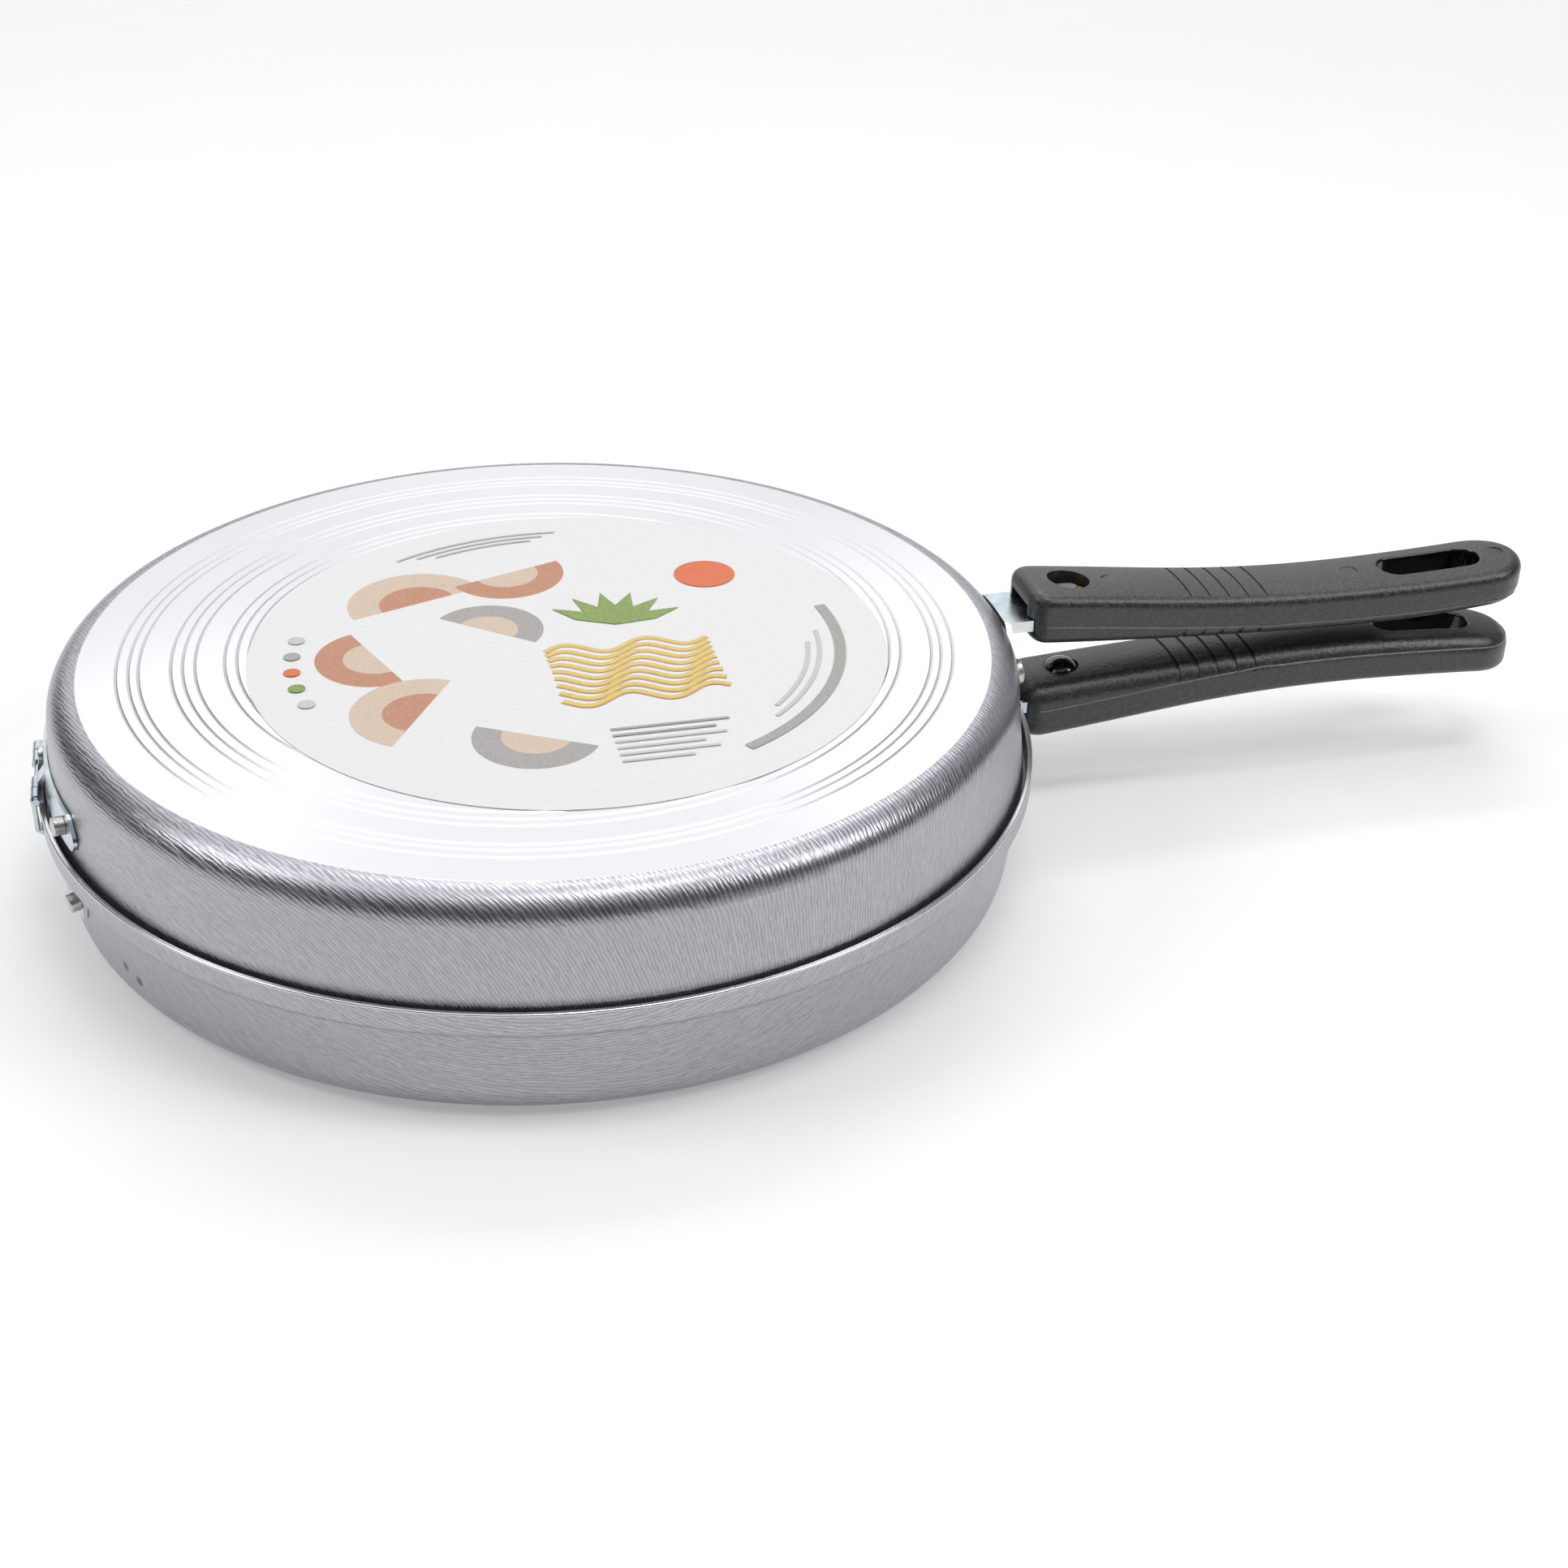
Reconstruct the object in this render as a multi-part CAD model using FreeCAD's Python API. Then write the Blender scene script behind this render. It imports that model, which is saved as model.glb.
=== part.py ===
import FreeCAD, Part
import math
import os
from FreeCAD import Placement, Rotation, Vector

# Double sided flip pan: two pressed aluminium pans closed mouth to mouth, hinged at the back,
# with one moulded handle on each. Millimetres. The origin is the centre of the lower base,
# +X runs to the handles, the hinge is at -X, and +Z is up.

# Pans
total_height = 60.0
rim_line_share = 0.55
base_flat_radius = 119.0
shoulder_radius = 8.0
inner_corner_radius = 7.0
wall_draft_deg = 5.8
wall_thickness = 1.6
floor_thickness = 3.0

# Rim joint: the upper rim nests inside the lip of the lower pan
nest_depth = 5.6
nest_clearance = 0.7
rest_gap = 0.3
lip_thickness = 1.5
lip_round = 0.45
ledge_web = 0.4
step_height = 1.3
step_round = 1.6

# Turned face of each base
groove_width = 0.9
groove_depth = 0.3
groove_shares = (0.916, 0.890, 0.869, 0.801, 0.776, 0.750, 0.687, 0.661, 0.636)

# Paper label on the upper base
label_radius = 83.5
label_thickness = 0.2
label_shift_x = 6.8
label_shift_y = -6.7

# Fits
seat_gap = 0.1
running_clearance = 0.05
shank_clearance = 0.1
cut_overrun = 2.0

# Rivets: shank radius, formed tail outside, domed head inside the pan
hinge_rivet_shank_radius = 2.0
hinge_rivet_tail_radius = 2.4
hinge_rivet_tail_height = 2.5
hinge_rivet_head_radius = 3.6
hinge_rivet_head_height = 1.1
bracket_rivet_shank_radius = 2.5
bracket_rivet_tail_radius = 3.4
bracket_rivet_tail_height = 2.2
bracket_rivet_head_radius = 4.6
bracket_rivet_head_height = 1.3
rivet_edge_share = 0.4
rivet_seat_gap = 0.15

# Hinge: two leaves and a pin along Y. Of the five widths the middle one is left open, so that
# the low rivet behind it clears the barrel
hinge_set_in = 0.3
hinge_lift = 2.5
knuckle_outer_radius = 1.5
pin_radius = 0.8
pin_head_radius = 1.3
pin_head_height = 0.8
knuckle_gap = 0.4
knuckle_widths = (5.0, 6.0, 8.0, 6.0, 5.0)
leaf_thickness = 0.9
leaf_half_width = 47.0
leaf_end_slant = 7.0
leaf_corner_round = 2.5
upper_leaf_bottom_share = 0.168
upper_leaf_top_share = 0.61
upper_hinge_rivet_share = 0.384
upper_hinge_rivet_angles_deg = (-16.5, 16.5)
low_rivet_tail_height = 1.2
upper_strap_rise = 3.6
lower_leaf_bottom_share = 0.37
lower_leaf_top_share = 0.977
lower_hinge_rivet_share = 0.78
lower_hinge_rivet_angles_deg = (-18.7, 0.0, 18.7)

# Handles: heights are measured outward from the plane midway between the two handles,
# which is a share of the closed pair's height
handle_plane_share = 0.687
handle_clearance = 0.56
handle_length = 153.3
handle_outer_heights = (22.9, 20.4, 16.7, 15.6, 16.6, 17.9)
handle_inner_heights = (6.5, 4.7, 2.8, 2.0, 3.4, 5.6)
handle_half_widths = (12.4, 12.3, 12.1, 12.3, 12.9, 13.0)
handle_station_shares = (0.0, 0.16, 0.40, 0.68, 0.87, 1.0)
nose_corner_round = 5.9
handle_inner_round = 5.4
handle_outer_round = 3.2
handle_outer_crown_radius = 64.0
handle_inner_crown_radius = 60.0

# Hanging slot, finger grooves and ejector marks of a handle
slot_length = 31.0
slot_width = 10.6
slot_centre = 125.0
slot_edge_round = 0.7
grip_groove_count = 5
grip_groove_first = 47.2
grip_groove_pitch = 5.75
inner_groove_width = 1.2
inner_groove_depth = 0.5
inner_groove_reach = 12.0
inner_groove_shift = -1.9
outer_groove_width = 0.7
outer_groove_depth = 0.3
outer_groove_reach = 9.8
ejector_mark_radius = 2.6
ejector_mark_depth = 0.15
ejector_mark_shares = (0.172, 0.652, 0.951)

# Handle bracket, screw and nut
tang_width = 19.0
tang_thickness = 2.0
tang_flange_height = 3.3
tang_flange_thickness = 1.5
tang_outer_height = 14.4
tang_depth = 28.0
tang_side_clearance = 0.5
tang_top_clearance = 0.5
cavity_height = 6.6
nut_room_half_width = 6.5
bracket_thickness = 1.6
bracket_half_width = 19.0
bracket_corner_round = 3.0
upper_bracket_bottom_share = 0.158
upper_bracket_rivet_share = 0.453
lower_bracket_bottom_share = 0.086
lower_bracket_rivet_share = 0.437
bracket_shoulder_drop = 7.0
bracket_rivet_angles_deg = (-5.4, 5.4)
screw_station = 13.9
screw_radius = 2.5
screw_head_radius = 4.9
screw_head_height = 3.0
screw_recess = 0.6
screw_end_overrun = 0.8
nut_across_flats = 8.0
nut_height = 4.0
nut_hole_radius = 6.0

# Derived places
rim_line_height = rim_line_share * total_height
handle_plane_height = handle_plane_share * total_height
draft = math.radians(wall_draft_deg)
shoulder_end = (base_flat_radius + shoulder_radius * math.cos(draft),
                shoulder_radius * (1 - math.sin(draft)))
upper_rim_height = total_height - rim_line_height + nest_depth
ledge_height = rim_line_height - nest_depth - rest_gap


def wall_radius(height):
    """Outer radius of a pan's wall at a height above that pan's own base."""
    return shoulder_end[0] + (height - shoulder_end[1]) * math.tan(draft)


def inner_wall_radius(height):
    return wall_radius(height) - wall_thickness / math.cos(draft)


lip_inner_radius = wall_radius(upper_rim_height) + nest_clearance
lip_outer_radius = lip_inner_radius + lip_thickness
step_top = ledge_height - ledge_web
step_bottom = step_top - step_height
hinge_radius = lip_outer_radius - hinge_set_in
hinge_height = rim_line_height + hinge_lift
upper_wall_length = total_height - shoulder_radius - rim_line_height
lower_wall_length = step_bottom - shoulder_radius
tang_inner_height = tang_outer_height - tang_flange_height
handle_start = lip_outer_radius + seat_gap + bracket_thickness + handle_clearance
handle_end = handle_start + handle_length
screw_place = handle_start + screw_station
cavity_half_width = tang_width / 2 + tang_side_clearance


def on_upper_wall(share):
    """Height at a share of the upper wall, from the rim line to the shoulder."""
    return rim_line_height + share * upper_wall_length


def on_lower_wall(share):
    """Height at a share of the lower wall, from the shoulder to the step below the lip."""
    return shoulder_radius + share * lower_wall_length


def ring_point(radius, height):
    return Vector(radius, 0, height)


def line_chain(points):
    pairs = zip(points, points[1:])
    return [Part.LineSegment(a, b).toShape() for a, b in pairs if a.distanceToPoint(b) > 0]


def arc_edge(centre, radius, start_deg, end_deg):
    """Arc in the XZ plane, as an edge through its two ends and its middle."""
    angles = [math.radians(a) for a in (start_deg, (start_deg + end_deg) / 2, end_deg)]
    places = [ring_point(centre[0] + radius * math.cos(a), centre[1] + radius * math.sin(a))
              for a in angles]
    return Part.Arc(*places).toShape()


def turned(edges, sweep_deg=360):
    face = Part.Face(Part.Wire(edges))
    return face.revolve(Vector(0, 0, 0), Vector(0, 0, 1), sweep_deg)


def base_points():
    """Underside of a base from its centre outward, with its turned grooves."""
    points = [ring_point(0, 0)]
    for share in sorted(groove_shares):
        radius = share * base_flat_radius
        points.append(ring_point(radius - groove_width / 2, 0))
        points.append(ring_point(radius, groove_depth))
        points.append(ring_point(radius + groove_width / 2, 0))
    points.append(ring_point(base_flat_radius, 0))
    return points


def pan_shell(rim_points):
    """Pressed pan with its base at z = 0 and its mouth up, closed by the given rim outline."""
    corner_height = floor_thickness + inner_corner_radius
    reach = wall_thickness + inner_corner_radius
    corner_radius = shoulder_end[0] + ((corner_height - shoulder_end[1]) * math.sin(draft)
                                       - reach) / math.cos(draft)
    wall_start = ring_point(corner_radius + inner_corner_radius * math.cos(draft),
                            corner_height - inner_corner_radius * math.sin(draft))
    edges = line_chain(base_points())
    edges.append(arc_edge((base_flat_radius, shoulder_radius), shoulder_radius,
                          -90, -wall_draft_deg))
    edges += line_chain([ring_point(*shoulder_end)] + rim_points + [wall_start])
    edges.append(arc_edge((corner_radius, corner_height), inner_corner_radius,
                          -wall_draft_deg, -90))
    edges += line_chain([ring_point(corner_radius, floor_thickness),
                         ring_point(0, floor_thickness), ring_point(0, 0)])
    return turned(edges)


def rounded_at(shape, height, radius):
    """Rounds the circular edges that lie at a height."""
    edges = [e for e in shape.Edges
             if abs(e.BoundBox.ZMin - height) < running_clearance
             and abs(e.BoundBox.ZMax - height) < running_clearance]
    return shape.makeFillet(radius, edges)


def upper_way_up(shape):
    """Turns a pan built with its base at z = 0 over, onto the top of the closed pair."""
    return shape.mirror(Vector(0, 0, total_height / 2), Vector(0, 0, 1))


def lower_pan_blank():
    rim = [ring_point(wall_radius(step_bottom), step_bottom),
           ring_point(lip_outer_radius, step_top),
           ring_point(lip_outer_radius, rim_line_height),
           ring_point(lip_inner_radius, rim_line_height),
           ring_point(lip_inner_radius, ledge_height),
           ring_point(inner_wall_radius(ledge_height), ledge_height)]
    shape = rounded_at(pan_shell(rim), rim_line_height, lip_round)
    return rounded_at(shape, step_top, step_round)


def upper_pan_blank():
    rim = [ring_point(wall_radius(upper_rim_height), upper_rim_height),
           ring_point(inner_wall_radius(upper_rim_height), upper_rim_height)]
    return upper_way_up(rounded_at(pan_shell(rim), upper_rim_height, lip_round))


def upper_outline(low, high):
    """Outer wall of the upper pan between two heights, bottom to top."""
    shoulder_height = total_height - shoulder_end[1]
    points = [(wall_radius(total_height - low), low)]
    if high > shoulder_height:
        points.append((shoulder_end[0], shoulder_height))
        points.append((shoulder_end[0], high))
    else:
        points.append((wall_radius(total_height - high), high))
    return points


def lower_outline(low, high):
    """Outer wall of the lower pan between two heights, over the step when it reaches it."""
    points = [(wall_radius(low), low)]
    if high > step_bottom:
        points.append((wall_radius(step_bottom), step_bottom))
        points.append((lip_outer_radius, step_top))
        points.append((lip_outer_radius, high))
    else:
        points.append((wall_radius(high), high))
    return points


def wall_skin(outline, thickness, half_width, azimuth_deg):
    """Curved plate that follows a pan's wall at the seat gap."""
    inner = [ring_point(r + seat_gap, z) for r, z in outline]
    outer = [ring_point(r + seat_gap + thickness, z) for r, z in reversed(outline)]
    half_deg = math.degrees(math.asin(half_width / outline[0][0]))
    shape = turned(line_chain(inner + outer + inner[:1]), 2 * half_deg)
    shape.rotate(Vector(0, 0, 0), Vector(0, 0, 1), azimuth_deg - half_deg)
    return shape


def facing_prism(points, corner_round, direction):
    """Prism along X through an outline of (y, z) points, on one side of the pan."""
    places = [Vector(0, y, z) for y, z in points]
    face = Part.Face(Part.makePolygon(places + places[:1]))
    reach = direction * (hinge_radius + handle_length)
    prism = face.extrude(Vector(reach, 0, 0))
    edges = [e for e in prism.Edges if e.BoundBox.XLength > hinge_radius]
    return prism.makeFillet(corner_round, edges)


def wall_frame(radius, height, azimuth_deg, upward):
    """Placement on a wall whose own Z points straight out of the metal."""
    tilt = draft if upward else -draft
    turn = math.radians(azimuth_deg)
    out = Vector(math.cos(turn) * math.cos(tilt), math.sin(turn) * math.cos(tilt),
                 math.sin(tilt))
    place = Vector(radius * math.cos(turn), radius * math.sin(turn), height)
    return Placement(place, Rotation(Vector(0, 0, 1), out))


def rivet(place, plate, shank, tail, tail_height, head, head_height):
    """Solid rivet through a plate and a wall; z = 0 is the outside of the wall."""
    outside = seat_gap + plate + rivet_seat_gap
    inside = -wall_thickness - rivet_seat_gap
    edge = rivet_edge_share * head_height
    chamfer = rivet_edge_share * (tail - shank)
    top = outside + tail_height
    bottom = inside - head_height
    outline = [ring_point(0, bottom), ring_point(0, top), ring_point(tail - chamfer, top),
               ring_point(tail, top - chamfer), ring_point(tail, outside),
               ring_point(shank, outside), ring_point(shank, inside),
               ring_point(head, inside), ring_point(head, inside - edge)]
    rise = head_height - edge
    dome = (head * head + rise * rise) / (2 * rise)
    half_reach = math.asin(head / dome) / 2
    middle = ring_point(dome * math.sin(half_reach), bottom + dome * (1 - math.cos(half_reach)))
    edges = line_chain(outline)
    edges.append(Part.Arc(outline[-1], middle, outline[0]).toShape())
    shape = turned(edges)
    shape.Placement = place
    return shape


def hinge_rivet(place):
    return rivet(place, leaf_thickness, hinge_rivet_shank_radius, hinge_rivet_tail_radius,
                 hinge_rivet_tail_height, hinge_rivet_head_radius, hinge_rivet_head_height)


def low_hinge_rivet(place):
    return rivet(place, leaf_thickness, hinge_rivet_shank_radius, hinge_rivet_tail_radius,
                 low_rivet_tail_height, hinge_rivet_head_radius, hinge_rivet_head_height)


def bracket_rivet(place):
    return rivet(place, bracket_thickness, bracket_rivet_shank_radius,
                 bracket_rivet_tail_radius, bracket_rivet_tail_height,
                 bracket_rivet_head_radius, bracket_rivet_head_height)


def rivet_hole(place, shank):
    reach = wall_thickness + cut_overrun
    hole = Part.makeCylinder(shank + shank_clearance, 2 * reach + leaf_thickness,
                             Vector(0, 0, -reach))
    hole.Placement = place
    return hole


def knuckle_spans():
    """Start and end along Y of each width of the barrel, from -Y to +Y."""
    spans = []
    start = -sum(knuckle_widths) / 2
    for width in knuckle_widths:
        spans.append((start + knuckle_gap / 2, start + width - knuckle_gap / 2))
        start += width
    return spans


def along_y(radius, start, end):
    return Part.makeCylinder(radius, end - start, Vector(-hinge_radius, start, hinge_height),
                             Vector(0, 1, 0))


def strap(points, start, end):
    """Flat strip between a leaf and a knuckle, from an outline of (radius, height) points."""
    places = [Vector(-r, start, z) for r, z in points]
    face = Part.Face(Part.makePolygon(places + places[:1]))
    return face.extrude(Vector(0, end - start, 0))


def hinge_leaf(plate, strap_points, spans, envelope):
    shape = plate
    for start, end in spans:
        shape = shape.fuse(strap(strap_points, start, end))
    shape = shape.cut(envelope)
    for start, end in spans:
        shape = shape.fuse(along_y(knuckle_outer_radius, start, end))
    bore = along_y(pin_radius + running_clearance, -leaf_half_width, leaf_half_width)
    return shape.cut(bore).removeSplitter()


def leaf_outline(wide_height, narrow_height):
    narrow = leaf_half_width - leaf_end_slant
    return [(-leaf_half_width, wide_height), (leaf_half_width, wide_height),
            (narrow, narrow_height), (-narrow, narrow_height)]


def envelope_of(outline):
    """Everything inside a wall, grown by the seat gap."""
    line = [ring_point(r + seat_gap, z) for r, z in outline]
    closing = [ring_point(0, outline[-1][1]), ring_point(0, outline[0][1]), line[0]]
    return turned(line_chain(line + closing))


def upper_hinge_leaf():
    bottom = on_upper_wall(upper_leaf_bottom_share)
    top = on_upper_wall(upper_leaf_top_share)
    plate = wall_skin(upper_outline(bottom, top), leaf_thickness, leaf_half_width, 180)
    plate = plate.common(facing_prism(leaf_outline(bottom, top), leaf_corner_round, -1))
    near = hinge_radius - knuckle_outer_radius
    wall_side = near - 2 * leaf_thickness
    bend = hinge_height + knuckle_outer_radius
    high = bend + upper_strap_rise
    points = [(near, hinge_height), (near, bend), (wall_side, high - leaf_thickness),
              (wall_side, high + leaf_thickness), (near + leaf_thickness, bend + leaf_thickness),
              (near + leaf_thickness, hinge_height)]
    envelope = envelope_of(upper_outline(rim_line_height, total_height - shoulder_radius))
    return hinge_leaf(plate, points, knuckle_spans()[1::2], envelope)


def lower_hinge_leaf():
    bottom = on_lower_wall(lower_leaf_bottom_share)
    top = on_lower_wall(lower_leaf_top_share)
    plate = wall_skin(lower_outline(bottom, top), leaf_thickness, leaf_half_width, 180)
    plate = plate.common(facing_prism(leaf_outline(top, bottom), leaf_corner_round, -1))
    lip_side = lip_outer_radius + seat_gap
    wall_side = wall_radius(top) - 2 * leaf_thickness
    low = step_bottom - leaf_thickness
    points = [(lip_side, hinge_height), (lip_side, step_top), (wall_side, step_top),
              (wall_side, low), (wall_radius(low) + leaf_thickness, low),
              (lip_side + leaf_thickness, step_top), (lip_side + leaf_thickness, hinge_height)]
    envelope = envelope_of(lower_outline(shoulder_radius, rim_line_height))
    return hinge_leaf(plate, points, knuckle_spans()[0::4], envelope)


def hinge_pin():
    end = sum(knuckle_widths) / 2
    shape = along_y(pin_radius, -end, end)
    head = along_y(pin_head_radius, end, end + pin_head_height)
    head = head.makeChamfer(pin_head_height / 2,
                            [e for e in head.Edges
                             if e.BoundBox.YMin > end + pin_head_height / 2])
    other = head.mirror(Vector(0, 0, 0), Vector(0, 1, 0))
    return shape.fuse(head).fuse(other)


def handle_curve(heights):
    """Smooth line along a handle through its stations, in the XZ plane above the mid plane."""
    places = [Vector(handle_start + share * handle_length, 0, handle_plane_height + height)
              for share, height in zip(handle_station_shares, heights)]
    curve = Part.BSplineCurve()
    curve.interpolate(places)
    return curve


def side_curve(side):
    """Plan outline of one side of a handle, up to where its round end begins."""
    stations = zip(handle_station_shares, handle_half_widths)
    end_radius = handle_half_widths[-1]
    places = [Vector(handle_start + share * (handle_length - end_radius), side * width, 0)
              for share, width in stations]
    curve = Part.BSplineCurve()
    tangent = Vector(1, 0, 0)
    slope = (places[1] - places[0]).normalize()
    curve.interpolate(places, InitialTangent=slope, FinalTangent=tangent)
    return curve


def crown_axis(heights, radius, side):
    """Height of the line along X that a long face of a handle is crowned about."""
    return handle_plane_height + sum(heights) / len(heights) - side * radius


def beyond_face(heights, radius, side):
    """Everything beyond one long face of a handle; side is 1 for the outer face, -1 for the inner."""
    curve = handle_curve(heights)
    far = handle_plane_height + side * 2 * max(handle_outer_heights)
    corners = [curve.EndPoint, Vector(handle_end, 0, far), Vector(handle_start, 0, far),
               curve.StartPoint]
    face = Part.Face(Part.Wire([curve.toShape()] + line_chain(corners)))
    axis = Vector(0, 0, crown_axis(heights, radius, side))
    half_deg = math.degrees(math.asin((max(handle_half_widths) + cut_overrun) / radius))
    face.rotate(axis, Vector(1, 0, 0), -half_deg)
    return face.revolve(axis, Vector(1, 0, 0), 2 * half_deg)


def handle_plan_prism():
    near = side_curve(-1)
    far = side_curve(1)
    tip = Vector(handle_end, 0, 0)
    edges = [near.toShape(), Part.Arc(near.EndPoint, tip, far.EndPoint).toShape(),
             far.toShape(), Part.LineSegment(far.StartPoint, near.StartPoint).toShape()]
    face = Part.Face(Part.Wire(Part.__sortEdges__(edges)))
    face.translate(Vector(0, 0, handle_plane_height - cut_overrun))
    prism = face.extrude(Vector(0, 0, max(handle_outer_heights) + 2 * cut_overrun))
    corners = [e for e in prism.Edges if e.BoundBox.XMax < handle_start + running_clearance
               and e.BoundBox.YLength < running_clearance]
    return prism.makeFillet(nose_corner_round, corners)


def on_curve(curve, place):
    """Height of a handle's curve at a place along X."""
    cross = Part.LineSegment(Vector(place, 0, 0), Vector(place, 0, 2 * total_height))
    found = curve.toShape().section(cross.toShape()).Vertexes
    return found[0].Z


def long_edges(shape, heights, radius, side):
    """Edges of a handle blank that run along one of its long faces."""
    curve = handle_curve(heights)
    axis = crown_axis(heights, radius, side)
    tolerance = running_clearance
    chosen = []
    for edge in shape.Edges:
        middle = edge.valueAt((edge.FirstParameter + edge.LastParameter) / 2)
        inside = handle_start + tolerance < middle.x < handle_end - tolerance
        if not inside:
            on_tip = abs(middle.x - handle_end) <= tolerance
            middle.x = handle_end - tolerance
            if not on_tip:
                continue
        reach = side * (on_curve(curve, middle.x) - axis)
        height = axis + side * math.sqrt(reach ** 2 - middle.y ** 2)
        level = abs(middle.z - height) < 2 * tolerance
        if level and edge.Length > max(handle_half_widths):
            chosen.append(edge)
    return chosen


def grip_groove(blank, place, width, reach, depth):
    """Shallow groove across a handle's face, which it follows; the inner face has depth below 0."""
    slab = Part.makeBox(width, 2 * reach, 2 * total_height,
                        Vector(place - width / 2, -reach, 0))
    body = blank.common(slab)
    sunk = body.copy()
    sunk.translate(Vector(0, 0, -depth))
    return body.cut(sunk)


def slot_cutter():
    """Through slot of the tail, longer than the handle is thick."""
    centre = handle_start + slot_centre
    half = (slot_length - slot_width) / 2
    floor = handle_plane_height - cut_overrun
    depth = max(handle_outer_heights) + 2 * cut_overrun
    radius = slot_width / 2
    shape = Part.makeBox(2 * half, slot_width, depth, Vector(centre - half, -radius, floor))
    for end in (centre - half, centre + half):
        shape = shape.fuse(Part.makeCylinder(radius, depth, Vector(end, 0, floor)))
    return shape.removeSplitter()


def slot_rim_edges(shape):
    """Edges where the slot breaks through the two long faces of a handle."""
    low = handle_start + slot_centre - slot_length / 2 - running_clearance
    high = low + slot_length + 2 * running_clearance
    reach = slot_width / 2 + running_clearance
    chosen = []
    for edge in shape.Edges:
        box = edge.BoundBox
        within = box.XMin > low and box.XMax < high and box.YMax < reach and box.YMin > -reach
        upright = box.ZLength > slot_width / 2
        if within and not upright:
            chosen.append(edge)
    return chosen


def moulded_handle():
    """Upper handle, underside of the moulding outward and its crowned face to the middle."""
    outer_face = (handle_outer_heights, handle_outer_crown_radius, 1)
    inner_face = (handle_inner_heights, handle_inner_crown_radius, -1)
    shape = handle_plan_prism().cut(beyond_face(*outer_face)).cut(beyond_face(*inner_face))
    shape = shape.makeFillet(handle_inner_round, long_edges(shape, *inner_face))
    shape = shape.makeFillet(handle_outer_round, long_edges(shape, *outer_face))
    shape = shape.cut(slot_cutter())
    shape = shape.makeFillet(slot_edge_round, slot_rim_edges(shape))
    blank = shape
    for index in range(grip_groove_count):
        place = handle_start + grip_groove_first + index * grip_groove_pitch
        shape = shape.cut(grip_groove(blank, place + inner_groove_shift, inner_groove_width,
                                      inner_groove_reach, -inner_groove_depth))
        shape = shape.cut(grip_groove(blank, place, outer_groove_width, outer_groove_reach,
                                      outer_groove_depth))
    for share in ejector_mark_shares:
        place = handle_start + share * handle_length
        height = on_curve(handle_curve(handle_outer_heights), place)
        shape = shape.cut(Part.makeCylinder(ejector_mark_radius, cut_overrun,
                                            Vector(place, 0, height - ejector_mark_depth)))
    return drilled_handle(shape)


def drilled_handle(shape):
    """Opens the tang's cavity, the screw hole, its flat seat and the nut hole."""
    low = handle_plane_height + tang_inner_height
    for half, height in ((cavity_half_width, tang_flange_height + tang_top_clearance),
                         (nut_room_half_width, cavity_height)):
        shape = shape.cut(Part.makeBox(tang_depth + cut_overrun, 2 * half, height,
                                       Vector(handle_start - cut_overrun, -half, low)))
    foot = Vector(screw_place, 0, handle_plane_height)
    seat = screw_seat_height()
    shape = shape.cut(Part.makeCylinder(screw_head_radius + shank_clearance,
                                        seat - handle_plane_height, foot))
    shape = shape.cut(Part.makeCylinder(screw_radius + shank_clearance, cavity_height + low - seat,
                                        Vector(screw_place, 0, seat)))
    return shape.cut(Part.makeCylinder(nut_hole_radius, 2 * cavity_height + cut_overrun,
                                       Vector(screw_place, 0, low + cavity_height / 2)))


def screw_seat_height():
    """Height of the flat that the screw's head bears on."""
    return on_curve(handle_curve(handle_inner_heights), screw_place) + screw_recess


def handle_screw():
    seat = screw_seat_height()
    dome = (screw_head_radius ** 2 + screw_head_height ** 2) / (2 * screw_head_height)
    ball = Part.makeSphere(dome, Vector(screw_place, 0, seat - screw_head_height + dome))
    column = Part.makeCylinder(screw_head_radius, screw_head_height,
                               Vector(screw_place, 0, seat - screw_head_height))
    top = handle_plane_height + tang_outer_height + nut_height + screw_end_overrun
    shank = Part.makeCylinder(screw_radius, top - seat, Vector(screw_place, 0, seat))
    return column.common(ball).fuse(shank)


def handle_nut():
    low = handle_plane_height + tang_outer_height
    corner = nut_across_flats / math.sqrt(3)
    points = [Vector(screw_place + corner * math.cos(math.radians(a)),
                     corner * math.sin(math.radians(a)), low) for a in range(0, 360, 60)]
    nut = Part.Face(Part.makePolygon(points + points[:1])).extrude(Vector(0, 0, nut_height))
    bore = Part.makeCylinder(screw_radius + running_clearance, nut_height,
                             Vector(screw_place, 0, low))
    return nut.cut(bore)


def tang(root):
    """Channel that reaches from a bracket's plate into a handle, for the upper handle."""
    end = handle_start + tang_depth - cut_overrun
    low = handle_plane_height + tang_inner_height
    shape = Part.makeBox(end - root, tang_width, tang_flange_height,
                         Vector(root, -tang_width / 2, low))
    hollow = tang_width - 2 * tang_flange_thickness
    shape = shape.cut(Part.makeBox(end - root, hollow, tang_flange_height - tang_thickness,
                                   Vector(root, -hollow / 2, low)))
    return shape.cut(Part.makeCylinder(screw_radius + shank_clearance, tang_flange_height,
                                       Vector(screw_place, 0, low)))


def across_handle_plane(shape):
    """The same piece on the lower side of the plane between the handles."""
    return shape.mirror(Vector(0, 0, handle_plane_height), Vector(0, 0, 1))


def bracket_outline(wide_height, narrow_height):
    """Plate that is wide at its rivets and narrows to the tang."""
    toward = 1 if narrow_height > wide_height else -1
    neck = narrow_height - toward * bracket_shoulder_drop
    half = tang_width / 2
    return [(-bracket_half_width, wide_height), (bracket_half_width, wide_height),
            (bracket_half_width, neck), (half, narrow_height), (-half, narrow_height),
            (-bracket_half_width, neck)]


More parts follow.
